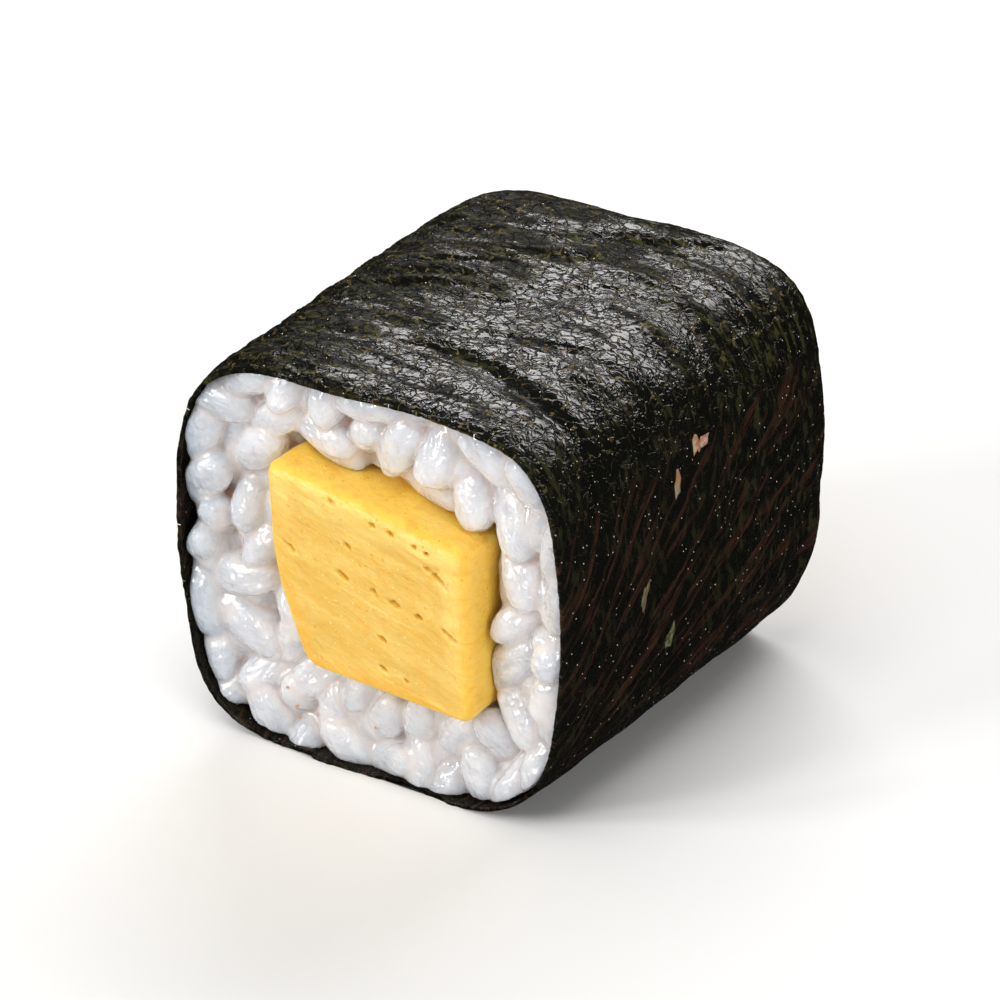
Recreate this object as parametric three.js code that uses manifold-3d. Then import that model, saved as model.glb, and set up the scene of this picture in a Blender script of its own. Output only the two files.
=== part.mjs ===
// A piece of tamago maki: a slice of omelette roll in pressed rice, wrapped in a sheet of nori.
// Millimetres. X runs across the cut face, Y along the roll, Z up. The shown cut face looks along -Y.
import * as THREE from 'three';
import { mergeVertices } from 'three/addons/utils/BufferGeometryUtils.js';
import Module from 'manifold-3d';

const wasm = await Module();
wasm.setup();

// Driving dimensions of the roll
const rollWidth = 31;
const rollHeight = 28.8;
const rollLength = 32;
const squareness = 3.26; // exponent of the rounded-square section: 2 is an ellipse
const backSwell = 0.035; // how much larger the far end is
const flatDepth = 0.35; // how far the underside is pressed flat by what the roll lies on
const gap = 0.3; // between sheet, rice and omelette

// Driving dimensions of the pieces
const sheetWall = 0.4;
const sheetCells = { around: 56, along: 17 };
const lap = { start: -4.5, fade: 7, step: 0.3 }; // x where the sheet's outer end lies on its inner end
const omeletteProud = { front: 1.5, back: 0.7 };
const faceDish = { atSheet: 0.2, atOmelette: 1.3, coreDepth: 1.5 };
const grain = { length: 5.4, width: 2.7, thickness: 2.5, unevenness: 0.1 };
const grainTip = { least: 0.1, most: 0.9 }; // how far a grain's end dips into the face, in radians
const grainSpread = { passes: 25, push: 0.25, room: 0.46, nearest: 0.2, furthest: 0.93 };

// The squeeze of the hand on the section: lobes round it, and their share of its half width
const squeeze = [
  { lobes: 3, share: 0.0075, turn: 1.5 },
  { lobes: 4, share: 0.013, turn: 3.5 },
  { lobes: 6, share: 0.0067, turn: -0.2 },
];

// Folds across the sheet: where the fold crosses the ridge of the roll, its slant, height and breadth
const folds = [
  { x: 2, y: -8.2, slant: -0.15, reach: 11, height: -0.28, breadth: 1.3 },
  { x: 0, y: -5.3, slant: 0.36, reach: 9, height: 0.2, breadth: 1.2 },
  { x: 2.5, y: 1.8, slant: 0.68, reach: 10, height: -0.24, breadth: 1.4 },
  { x: -3, y: 6.5, slant: 0.55, reach: 9, height: 0.22, breadth: 1.5 },
  { x: 6, y: 9.5, slant: 0.4, reach: 8, height: -0.18, breadth: 1.6 },
  { x: 15, y: 2, slant: 1.6, reach: 12, height: 0.22, breadth: 1.5 },
  { x: 20, y: -7, slant: 1.3, reach: 10, height: -0.2, breadth: 1.5 },
  { x: 24, y: 6, slant: 1.7, reach: 12, height: -0.2, breadth: 1.6 },
  { x: -16, y: -3, slant: 0.9, reach: 11, height: 0.2, breadth: 1.6 },
  { x: -22, y: 7, slant: 1.2, reach: 11, height: -0.2, breadth: 1.6 },
];

const crinkle = { height: 0.07, pitch: 7 }; // fine unevenness all over the sheet
const foldRoom = 0.3; // for the folds that press in between the cut faces
const rimCalm = 1 / 6; // share of the length over which the folds fade out towards a cut edge
const underside = { starts: 0.3, flat: 0.42 }; // shares of the girth, counted from the top
const rimWaves = [
  { height: 0.16, count: 9, turn: 0 },
  { height: 0.1, count: 3, turn: 1 },
];

// The omelette's section about the roll's axis, with the radius of each corner
const omeletteCorners = [
  { x: -7, z: 8.1, radius: 1.3 },
  { x: -6.6, z: 0.3, radius: 3 },
  { x: -4, z: -6.3, radius: 1.2 },
  { x: 8.9, z: -6.9, radius: 1 },
  { x: 8.5, z: 5.5, radius: 1.2 },
];
const omeletteEdge = 0.5; // rounding of the cut edges

// Layers of the omelette: they fall to the right, and pores lie in them, as [place along, length]
const layerSlant = -0.22;
const layerMiddle = 1.2; // x of the place that the layers' pores are counted from
const layers = [
  { height: 5.7, pores: [[-4.3, 0.8], [-1, 0.8], [0.5, 0.7], [2.3, 0.8], [3.3, 0.5]] },
  { height: 4.4, pores: [[4.2, 2.6]] },
  { height: 3.1, pores: [[-2.5, 0.8]] },
  { height: 0.8, pores: [[-6.7, 2.4], [-2.3, 1.4], [0.2, 0.9], [1.8, 1.2], [3.7, 0.8], [6.2, 1.6]] },
  { height: -2.1, pores: [[1.5, 0.9]] },
  { height: -4.3, pores: [[2, 0.8], [3.9, 0.6]] },
];
const pore = { height: 0.36, depth: 0.4, tilt: -0.28 };

// Rows of grains round a cut face: share of the way from omelette to sheet, the arc that each fills,
// and the lean of each grain from the radius, both in degrees
const grainRows = [
  { share: 0.86, arc: [-24, 23], leans: [100, 69, 66, 64] },
  { share: 0.8, arc: [31, 60], leans: [91, 88] },
  { share: 0.92, arc: [84, 104], leans: [91] },
  { share: 0.86, arc: [106, 211], leans: [147, 130, 76, 29, 102, 64, 72, 68, 84] },
  { share: 0.9, arc: [211, 286], leans: [64, 173, 65, 177, 27, 63, 103] },
  { share: 0.93, arc: [288, 335], leans: [167, 120, 172, 102, 107, 127] },
  { share: 0.2, arc: [-48, -6], leans: [168, 68] },
  { share: 0.34, arc: [0, 57], leans: [46, 92, 81, 61] },
  { share: 0.48, arc: [57, 89], leans: [10, 159] },
  { share: 0.43, arc: [90, 195], leans: [137, 51, 89, 73, 98, 55] },
  { share: 0.36, arc: [196, 264], leans: [79, 17, 165, 168] },
  { share: 0.68, arc: [200, 242], leans: [165, 114, 172, 69] },
  { share: 0.52, arc: [268, 315], leans: [140, 156, 123, 161] },
];

// Seeded draws between 0 and 1, always in the same order
function seededDraws(seed) {
  let state = seed;
  return () => {
    state = (state + 0x6d2b79f5) | 0;
    let mixed = Math.imul(state ^ (state >>> 15), 1 | state);
    mixed = (mixed + Math.imul(mixed ^ (mixed >>> 7), 61 | mixed)) ^ mixed;
    return ((mixed ^ (mixed >>> 14)) >>> 0) / 4294967296;
  };
}

// The roll's section: a rounded square pressed out of true, from the middle of its underside round
class RollSection extends THREE.Curve {
  constructor() {
    super();
    this.arcLengthDivisions = 2000;
  }

  getPoint(t, target = new THREE.Vector2()) {
    const turn = (t - 0.25) * 2 * Math.PI;
    const rounded = (value) => Math.sign(value) * Math.abs(value) ** (2 / squareness);
    let reach = 1;
    for (const { lobes, share, turn: lobeTurn } of squeeze) {
      reach += share * Math.cos(lobes * turn - lobeTurn);
    }
    const x = rounded(Math.cos(turn)) * reach * rollWidth / 2;
    const z = rounded(Math.sin(turn)) * reach * rollHeight / 2;
    return target.set(x, z);
  }
}

const section = new RollSection();
const girth = section.getLength();

// A point of the section at share u of its girth, brought in by inset, at the place y along the roll
function rollPoint(u, y, inset) {
  const place = section.getPointAt(u % 1);
  const along = section.getTangentAt(u % 1);
  const swell = 1 + backSwell * (y / rollLength + 0.5);
  const x = (place.x - along.y * inset) * swell;
  const z = (place.y + along.x * inset + rollHeight / 2) * swell - flatDepth;
  return new THREE.Vector3(x, y, Math.max(z, inset));
}

// Height of the sheet's relief at distance round the roll from its top, and place y along it
function sheetRelief(around, y) {
  let height = 0;
  for (const fold of folds) {
    const run = 1 / Math.hypot(1, fold.slant);
    const along = ((around - fold.x) + (y - fold.y) * fold.slant) * run;
    const across = ((y - fold.y) - (around - fold.x) * fold.slant) * run;
    const bend = across + 0.6 * Math.sin(along / 3 + fold.x);
    height += fold.height * Math.exp(-((bend / fold.breadth) ** 2) - (along / fold.reach) ** 4);
  }
  const wave = 2 * Math.PI / crinkle.pitch;
  const crossing = Math.sin(wave * (around + 0.8 * y)) * Math.sin(wave * (0.9 * y - 0.4 * around));
  return height + crinkle.height * crossing;
}

// Extra height where the outer end of the sheet lies on the inner end, on the underside
function lapRelief(u, x) {
  const below = Math.abs(u - 0.5) > underside.starts;
  if (!below || x < lap.start || x > lap.start + lap.fade) {
    return 0;
  }
  return lap.step * (1 - (x - lap.start) / lap.fade);
}

// A closed skin over rings of points, either wrapped on itself or capped by a fan at each end
function skin(rings, wrapped) {
  const count = rings[0].length;
  const points = rings.flat();
  const faces = [];
  const bands = wrapped ? rings.length : rings.length - 1;
  for (let j = 0; j < bands; j += 1) {
    for (let i = 0; i < count; i += 1) {
      const next = (i + 1) % count;
      const [near, far] = [j * count, ((j + 1) % rings.length) * count];
      const corners = [near + i, near + next, far + next, far + i];
      const crossed = wrapped && j >= rings.length / 2;
      const order = crossed ? [0, 3, 1, 1, 3, 2] : [0, 2, 1, 0, 3, 2];
      faces.push(...order.map((corner) => corners[corner]));
    }
  }
  if (!wrapped) {
    for (const j of [0, rings.length - 1]) {
      const middle = rings[j].reduce((sum, p) => sum.add(p), new THREE.Vector3());
      points.push(middle.divideScalar(count));
      for (let i = 0; i < count; i += 1) {
        const edge = [j * count + i, j * count + ((i + 1) % count)];
        faces.push(points.length - 1, ...(j ? edge.reverse() : edge));
      }
    }
  }
  const geometry = new THREE.BufferGeometry().setFromPoints(points);
  geometry.setIndex(faces);
  return geometry;
}

function toSolid(geometry) {
  const bare = geometry.clone();
  bare.deleteAttribute('normal');
  bare.deleteAttribute('uv');
  const merged = mergeVertices(bare, 1e-4);
  return new wasm.Manifold(new wasm.Mesh({
    numProp: 3,
    vertProperties: new Float32Array(merged.attributes.position.array),
    triVerts: new Uint32Array(merged.index.array),
  }));
}

// The largest body of a solid, without loose scraps and without skins round sealed hollows
function toGeometry(solid) {
  const bodies = solid.decompose().sort((a, b) => b.volume() - a.volume());
  const { vertProperties, triVerts } = bodies[0].getMesh();
  const geometry = new THREE.BufferGeometry();
  geometry.setAttribute('position', new THREE.BufferAttribute(vertProperties, 3));
  geometry.setIndex(new THREE.BufferAttribute(triVerts, 1));
  return geometry;
}

function finish(name, geometry, color, roughness) {
  geometry.computeVertexNormals();
  const material = new THREE.MeshStandardMaterial({ color, roughness, metalness: 0 });
  const mesh = new THREE.Mesh(geometry, material);
  mesh.name = name;
  return mesh;
}

// How far the cut edge of the sheet wanders along the roll at share u of the girth
function rimWave(u) {
  return rimWaves.reduce((sum, { height, count, turn }) => (
    sum + height * Math.sin(2 * Math.PI * count * u + turn)
  ), 0);
}

// The nori: one thin sheet, its outer face from front to back and its inner face back again
function noriGeometry() {
  const { around, along } = sheetCells;
  const rings = [];
  for (let j = 0; j <= 2 * along + 1; j += 1) {
    const outside = j <= along;
    const row = outside ? j : 2 * along + 1 - j;
    const ring = [];
    for (let i = 0; i < around; i += 1) {
      const u = i / around;
      const reach = row / along - 0.5;
      const atRim = row === 0 || row === along;
      const y = reach * rollLength + (atRim ? rimWave(u) : 0);
      const calm = Math.min(1, (0.5 - Math.abs(reach)) / rimCalm);
      const above = 1 - THREE.MathUtils.smoothstep(Math.abs(0.5 - u), underside.starts, underside.flat);
      const folded = sheetRelief((0.5 - u) * girth, y) * calm * above;
      const relief = folded + lapRelief(u, rollPoint(u, y, 0).x);
      const inset = outside ? -relief : sheetWall - relief;
      const point = rollPoint(u, y, inset);
      point.z = Math.max(point.z, outside ? 0 : sheetWall);
      ring.push(point);
    }
    rings.push(ring);
  }
  return skin(rings, true);
}

// The omelette's section as a shape with rounded corners, grown by a margin all round
function omeletteShape(margin) {
  const corners = omeletteCorners.map(({ x, z }) => new THREE.Vector2(x, z));
  const centred = corners.map((corner, i) => {
    const before = corner.clone().sub(corners.at(i - 1)).normalize();
    const after = corners[(i + 1) % corners.length].clone().sub(corner).normalize();
    const outward = new THREE.Vector2(before.y + after.y, -before.x - after.x);
    return corner.clone().add(outward.multiplyScalar(margin / (1 + before.dot(after))));
  });
  const shape = new THREE.Shape();
  centred.forEach((corner, i) => {
    const { radius } = omeletteCorners[i];
    const towards = (other) => other.clone().sub(corner).setLength(radius).add(corner);
    const start = towards(centred.at(i - 1));
    const end = towards(centred[(i + 1) % centred.length]);
    if (i === 0) {
      shape.moveTo(start.x, start.y);
    } else {
      shape.lineTo(start.x, start.y);
    }
    shape.quadraticCurveTo(corner.x, corner.y, end.x, end.y);
  });
  shape.closePath();
  return shape;
}

// The omelette's bar between two places along the roll
function omeletteBar(front, back, margin, edge) {
  const geometry = new THREE.ExtrudeGeometry(omeletteShape(margin), {
    depth: back - front - 2 * edge,
    curveSegments: 4,
    bevelEnabled: edge > 0,
    bevelThickness: edge,
    bevelSize: edge,
    bevelOffset: -edge,
    bevelSegments: 2,
  });
  geometry.rotateX(Math.PI / 2);
  geometry.translate(0, back - edge, rollHeight / 2 - flatDepth);
  return toSolid(geometry);
}

// A pit in a cut face of the omelette, long along the layer that it lies in
function poreSolid(along, height, y, length) {
  const geometry = new THREE.SphereGeometry(1, 6, 4);
  geometry.scale(length / 2, pore.depth, pore.height / 2);
  geometry.rotateY(-layerSlant - pore.tilt);
  const x = along * Math.cos(layerSlant) - height * Math.sin(layerSlant) + layerMiddle;
  const z = along * Math.sin(layerSlant) + height * Math.cos(layerSlant) + rollHeight / 2;
  geometry.translate(x, y, z - flatDepth);
  return toSolid(geometry);
}

function omeletteGeometry() {
  const front = -rollLength / 2 - omeletteProud.front;
  const back = rollLength / 2 + omeletteProud.back;
  const pits = [];
  for (const { height, pores } of layers) {
    for (const [along, length] of pores) {
      pits.push(poreSolid(along, height, front, length));
      pits.push(poreSolid(-along, height, back, length));
    }
  }
  return toGeometry(omeletteBar(front, back, 0, omeletteEdge).subtract(wasm.Manifold.union(pits)));
}

// Distance from the roll's axis to a closed outline, along a direction
function reachOf(outline, angle) {
  const way = new THREE.Vector2(Math.cos(angle), Math.sin(angle));
  let reach = 0;
  outline.forEach((from, i) => {
    const edge = outline[(i + 1) % outline.length].clone().sub(from);
    const slope = way.cross(edge);
    const share = from.cross(way) / slope;
    if (share >= 0 && share <= 1) {
      reach = Math.max(reach, from.cross(edge) / slope);
    }
  });
  return reach;
}

const omeletteOutline = omeletteShape(gap).getPoints(4);
const riceOutline = section.getSpacedPoints(120).slice(0, -1);

// Where the ring of rice begins and ends along a direction from the axis
function ringAt(angle) {
  const inner = reachOf(omeletteOutline, angle);
  return { inner, outer: reachOf(riceOutline, angle) - sheetWall - gap };
}

// A place on a cut face: an angle round the axis, and a share of the way from omelette to sheet
function facePlace(angle, share) {
  const { inner, outer } = ringAt(angle);
  const reach = inner + (outer - inner) * share;
  return { x: reach * Math.cos(angle), z: reach * Math.sin(angle) };
}

// The share of the way from omelette to sheet at a place on a cut face
function shareOf(x, z) {
  const { inner, outer } = ringAt(Math.atan2(z, x));
  return (Math.hypot(x, z) - inner) / (outer - inner);
}

// How far the rice lies behind the sheet's cut edge at a share of the way from omelette to sheet
function dishAt(share) {
  const { atSheet, atOmelette } = faceDish;
  return THREE.MathUtils.lerp(atOmelette, atSheet, THREE.MathUtils.clamp(share, 0, 1) ** 0.8);
}

// The rice behind the grains: a block with two dished faces, wider than the roll
function coreSolid() {
  const shares = [-0.6, 0, 0.5, 1, 1.3];
  const rings = [];
  for (const facing of [-1, 1]) {
    for (const share of facing < 0 ? shares : [...shares].reverse()) {
      const ring = [];
      for (let i = 0; i < 32; i += 1) {
        const { x, z } = facePlace(i / 16 * Math.PI, share);
        const y = facing * (rollLength / 2 - dishAt(share) - faceDish.coreDepth);
        ring.push(new THREE.Vector3(x, y, z + rollHeight / 2 - flatDepth));
      }
      rings.push(ring);
    }
  }
  return toSolid(skin(rings, false));
}

// One grain of rice: a stretched ball with blunt ends, its length along Z before it is turned
function grainGeometry() {
  const geometry = new THREE.SphereGeometry(1, 6, 4);
  const position = geometry.attributes.position;
  for (let i = 0; i < position.count; i += 1) {
    const along = Math.abs(position.getY(i));
    const blunt = along > 0.1 && along < 0.9 ? 1.22 : 1;
    position.setX(i, position.getX(i) * blunt);
    position.setZ(i, position.getZ(i) * blunt);
  }
  return geometry.rotateX(Math.PI / 2);
}

// A grain lying on a cut face, in place: along the face at its heading, one end dipped into the rice
function grainSolid({ x, z, heading, tip, size }, facing) {
  const way = new THREE.Vector3(
    Math.cos(heading) * Math.cos(tip),
    -facing * Math.sin(tip),
    Math.sin(heading) * Math.cos(tip),
  );
  const half = new THREE.Vector3(grain.width, grain.thickness, grain.length).multiplyScalar(size / 2);
  const stand = Math.hypot(half.z * Math.sin(tip), half.y * Math.cos(tip));
  const y = facing * (rollLength / 2 - dishAt(shareOf(x, z)) - stand);
  const across = new THREE.Vector3(-Math.sin(heading), 0, Math.cos(heading));
  const place = new THREE.Matrix4().makeBasis(across, new THREE.Vector3().crossVectors(way, across), way);
  place.scale(half).setPosition(x, y, z + rollHeight / 2 - flatDepth);
  return toSolid(grainGeometry().applyMatrix4(place));
}

// The line that a row of grains lies on, at its share of the way from omelette to sheet
class RowLine extends THREE.Curve {
  constructor({ share, arc }) {
    super();
    Object.assign(this, { share, arc });
  }

  angleAt(t) {
    return THREE.MathUtils.degToRad(THREE.MathUtils.lerp(this.arc[0], this.arc[1], t));
  }

  getPoint(t, target = new THREE.Vector2()) {
    const { x, z } = facePlace(this.angleAt(t), this.share);
    return target.set(x, z);
  }
}

// One row of grains along its line, each with the room that its lean takes
function grainRow({ share, arc, leans }, draw) {
  const grains = leans.map((lean) => {
    const side = draw() < 0.5 ? -1 : 1;
    const tip = side * THREE.MathUtils.lerp(grainTip.least, grainTip.most, draw() ** 2);
    const size = 1 + grain.unevenness * (2 * draw() - 1);
    const turn = THREE.MathUtils.degToRad(lean);
    const shown = grain.length * Math.cos(tip);
    const room = Math.max(shown * Math.abs(Math.sin(turn)), grain.width) * size;
    return { turn, tip, size, room, spread: grainSpread.room * Math.sqrt(shown * grain.width) * size };
  });
  const line = new RowLine({ share, arc });
  const total = grains.reduce((sum, { room }) => sum + room, 0);
  let passed = 0;
  for (const placed of grains) {
    const angle = line.angleAt(line.getUtoTmapping((passed + placed.room / 2) / total));
    Object.assign(placed, facePlace(angle, share), { heading: angle + placed.turn });
    passed += placed.room;
  }
  return grains;
}

// Pushes crowded grains apart, and back inside the ring between omelette and sheet
function spreadGrains(grains) {
  for (let pass = 0; pass < grainSpread.passes; pass += 1) {
    grains.forEach((one, i) => {
      for (const other of grains.slice(i + 1)) {
        const away = new THREE.Vector2(other.x - one.x, other.z - one.z);
        const crowding = one.spread + other.spread - away.length();
        if (crowding > 0) {
          away.setLength(crowding * grainSpread.push);
          one.x -= away.x;
          one.z -= away.y;
          other.x += away.x;
          other.z += away.y;
        }
      }
    });
    for (const one of grains) {
      const { nearest, furthest } = grainSpread;
      const share = THREE.MathUtils.clamp(shareOf(one.x, one.z), nearest, furthest);
      Object.assign(one, facePlace(Math.atan2(one.z, one.x), share));
    }
  }
}

// The grains of both cut faces: the far face is the near one turned round and drawn anew
function grainSolids() {
  const draw = seededDraws(11);
  const solids = [];
  for (const facing of [-1, 1]) {
    const rows = grainRows.map((row) => ({
      ...row,
      leans: facing < 0 ? row.leans : [...row.leans].reverse(),
    }));
    const grains = rows.flatMap((row) => grainRow(row, draw));
    spreadGrains(grains);
    solids.push(...grains.map((placed) => grainSolid(placed, facing)));
  }
  return solids;
}

// The space inside the sheet, from past one cut face to past the other, widest at the cut faces
function wrappedSpace() {
  const rings = [-0.56, -0.44, 0.44, 0.56].map((reach) => {
    const ring = [];
    for (let i = 0; i < 48; i += 1) {
      const inset = sheetWall + gap + (Math.abs(reach) < 0.5 ? foldRoom : 0);
      ring.push(rollPoint(i / 48, reach * rollLength, inset));
    }
    return ring;
  });
  return toSolid(skin(rings, false));
}

function riceGeometry() {
  const reach = rollLength / 2 + 3;
  const heap = wasm.Manifold.union([coreSolid(), ...grainSolids()]);
  return toGeometry(heap.intersect(wrappedSpace()).subtract(omeletteBar(-reach, reach, gap, 0)));
}

const roll = new THREE.Group();
roll.add(finish('nori', noriGeometry(), 0x1b1d15, 0.45));
roll.add(finish('rice', riceGeometry(), 0xdedcdd, 0.35));
roll.add(finish('tamago', omeletteGeometry(), 0xf0bd55, 0.5));

// The origin is on the surface that the roll lies on, under its middle
const box = new THREE.Box3().setFromObject(roll, true);
const middle = box.getCenter(new THREE.Vector3());
roll.position.set(-middle.x, -middle.y, -box.min.z);

const group = new THREE.Group();
group.add(roll);

export default group;
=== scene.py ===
import itertools
import math

import bmesh
import bpy
import numpy as np
from mathutils import Matrix, Vector


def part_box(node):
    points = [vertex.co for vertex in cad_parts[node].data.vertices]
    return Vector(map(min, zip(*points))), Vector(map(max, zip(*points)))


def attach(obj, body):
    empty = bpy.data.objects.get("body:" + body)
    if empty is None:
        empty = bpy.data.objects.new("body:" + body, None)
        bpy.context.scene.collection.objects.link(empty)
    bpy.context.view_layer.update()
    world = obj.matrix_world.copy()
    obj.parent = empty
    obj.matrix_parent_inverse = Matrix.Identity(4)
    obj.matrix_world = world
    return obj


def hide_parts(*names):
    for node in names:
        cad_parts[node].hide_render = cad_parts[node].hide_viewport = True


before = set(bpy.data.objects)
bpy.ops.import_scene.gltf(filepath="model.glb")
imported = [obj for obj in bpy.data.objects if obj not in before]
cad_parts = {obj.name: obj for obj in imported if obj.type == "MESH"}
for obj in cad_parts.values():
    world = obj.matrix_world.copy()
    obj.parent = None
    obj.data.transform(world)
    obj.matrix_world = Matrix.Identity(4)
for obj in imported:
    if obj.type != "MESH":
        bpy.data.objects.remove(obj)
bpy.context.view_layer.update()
print("frame loaded")

mm = 0.001  # sizes below are in millimetres, and meshes are made in metres

roll = {
    "width": 31,
    "height": 28.8,
    "length": 32,
    "squareness": 3.26,  # exponent of the rounded-square section: 2 is an ellipse
    "backSwell": 0.035,  # how much larger the far end is
    "flatDepth": 0.35,  # how far the underside is pressed flat
    "squeeze": [(3, 0.0075, 1.5), (4, 0.013, 3.5), (6, 0.0067, -0.2)],  # lobes, share, turn
    "omeletteProud": {"front": 1.5, "back": 0.7},
    "halfSteps": 20000,  # fine steps in half of the section
    "tangentReach": 0.15,
}
roll["middle"] = roll["height"] / 2 - roll["flatDepth"]  # height of the axis
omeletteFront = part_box("tamago")[0].y / mm
roll["shift"] = omeletteFront + roll["length"] / 2 + roll["omeletteProud"]["front"]  # along Y

seeds = {  # of each kind of unevenness
    "wrinkleWarp": 3,
    "softWrinkle": 5,
    "sharpWrinkle": 8,
    "netJog": 21,
    "net": 31,
    "rimBeads": 41,
    "poreEdge": 51,
    "cutFace": 61,
    "omeletteSide": 63,
    "frontLayers": 71,
    "backLayers": 81,
    "underGrains": 90,
    "core": 101,
    "dents": 131,
    "flakes": 7,
    "specks": 5,
    "grains": 11,
}


# shapes in numpy

def cellDraw(cells, seed):  # a number from -1 to 1 for each whole-number cell
    primes = (73856093, 19349663, 83492791)
    mixed = sum(cells[..., k] * primes[k] for k in range(cells.shape[-1])) + seed * 668265263
    mixed = (mixed ^ (mixed >> 13)) * 1274126177 & 0x7FFFFFFF
    mixed = (mixed ^ (mixed >> 15)) * 2246822519 & 0x7FFFFFFF
    return (mixed >> 7 & 0xFFFF) / 0x7FFF - 1


def latticeNoise(points, seed):  # smooth noise from -1 to 1, one lattice cell a unit
    base = np.floor(points).astype(np.int64)
    part = points - base
    ease = part * part * (3 - 2 * part)
    total = np.zeros(points.shape[:-1])
    for corner in itertools.product((0, 1), repeat=points.shape[-1]):
        weight = np.prod(np.where(corner, ease, 1 - ease), -1)
        total += weight * cellDraw(base + corner, seed)
    return total


def layeredNoise(points, layers, seed):  # layers: size and share of each
    return sum(share * latticeNoise(points / size, seed + k) for k, (size, share) in enumerate(layers))


def cellNoise(points, seed):  # distances to the nearest and the next cell, offset and draws of the nearest
    base = np.floor(points).astype(np.int64)
    nearest = np.full(points.shape[0], 9.0)
    second = nearest.copy()
    offset = np.zeros_like(points)
    draws = np.zeros((points.shape[0], 2))
    for step in itertools.product((-1, 0, 1), repeat=points.shape[1]):
        cell = base + step
        jitter = [cellDraw(cell, seed + k) for k in range(points.shape[1] + 2)]
        place = cell + 0.5 + 0.45 * np.stack(jitter[: points.shape[1]], -1)
        away = points - place
        distance = np.linalg.norm(away, axis=-1)
        closer = distance < nearest
        second = np.where(closer, nearest, np.minimum(second, distance))
        nearest = np.where(closer, distance, nearest)
        offset = np.where(closer[:, None], away, offset)
        draws = np.where(closer[:, None], np.stack(jitter[-2:], -1), draws)
    return nearest, second, offset, draws


def smoothStep(low, high, value):
    share = np.clip((value - low) / (high - low), 0, 1)
    return share * share * (3 - 2 * share)


def ringFaces(ringCount, count, wrapped):  # quads between closed rings of points
    ring = np.arange(count)
    quads = []
    for j in range(ringCount if wrapped else ringCount - 1):
        near, far = j * count, (j + 1) % ringCount * count
        beside = (ring + 1) % count
        quads.append(np.stack((near + ring, far + ring, far + beside, near + beside), -1))
    return np.concatenate(quads).tolist()


def poledFaces(ringCount, count, start=0):  # the same between a first and a last single point
    first, last, end = start + 1, start + 1 + (ringCount - 1) * count, start + 1 + ringCount * count
    ring = np.arange(count)
    beside = (ring + 1) % count
    front = np.stack((np.full(count, start), first + ring, first + beside), -1)
    back = np.stack((np.full(count, end), last + beside, last + ring), -1)
    quads = np.array(ringFaces(ringCount, count, False)) + first
    return front.tolist() + quads.tolist() + back.tolist()


def storeValues(mesh, values):  # a number or vector for each point, by name
    for key, value in values.items():
        kind, field = ("FLOAT_VECTOR", "vector") if np.ndim(value) == 2 else ("FLOAT", "value")
        layer = mesh.attributes.new(key, kind, "POINT")
        layer.data.foreach_set(field, np.asarray(value, np.float32).ravel())


def addObject(name, mesh):
    made = bpy.data.objects.new(name, mesh)
    bpy.context.scene.collection.objects.link(made)
    return made


def addMesh(name, points, faces, material, values=None):
    mesh = bpy.data.meshes.new(name)
    mesh.from_pydata((np.asarray(points) * mm).tolist(), [], faces)
    storeValues(mesh, values or {})
    mesh.shade_smooth()
    mesh.update()
    mesh.materials.append(material)
    return addObject(name, mesh)


def applyModifiers(piece):
    piece.update_tag()
    evaluated = piece.evaluated_get(bpy.context.evaluated_depsgraph_get())
    mesh = bpy.data.meshes.new_from_object(evaluated)
    piece.modifiers.clear()
    piece.data = mesh
    mesh.name = piece.name
    return mesh


# node graphs

class Wire:  # one output socket, with Python's operators on it
    def __init__(self, graph, socket):
        self.graph = graph
        self.socket = socket

    def __add__(self, other):
        return self.graph.maths("ADD", self, other)

    def __radd__(self, other):
        return self.graph.maths("ADD", other, self)

    def __sub__(self, other):
        return self.graph.maths("SUBTRACT", self, other)

    def __rsub__(self, other):
        return self.graph.maths("SUBTRACT", other, self)

    def __mul__(self, other):
        return self.graph.maths("MULTIPLY", self, other)

    def __rmul__(self, other):
        return self.graph.maths("MULTIPLY", other, self)

    def __truediv__(self, other):
        return self.graph.maths("DIVIDE", self, other)

    def __rtruediv__(self, other):
        return self.graph.maths("DIVIDE", other, self)

    def __pow__(self, other):
        return self.graph.maths("POWER", self, other)

    def __abs__(self):
        return self.graph.maths("ABSOLUTE", self)

    def between(self, low, high):  # 0 below low, 1 above high, smooth in the middle
        values = {"Value": self, "From Min": low, "From Max": high}
        return self.graph.node("ShaderNodeMapRange", {"interpolation_type": "SMOOTHSTEP"}, values)


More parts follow.
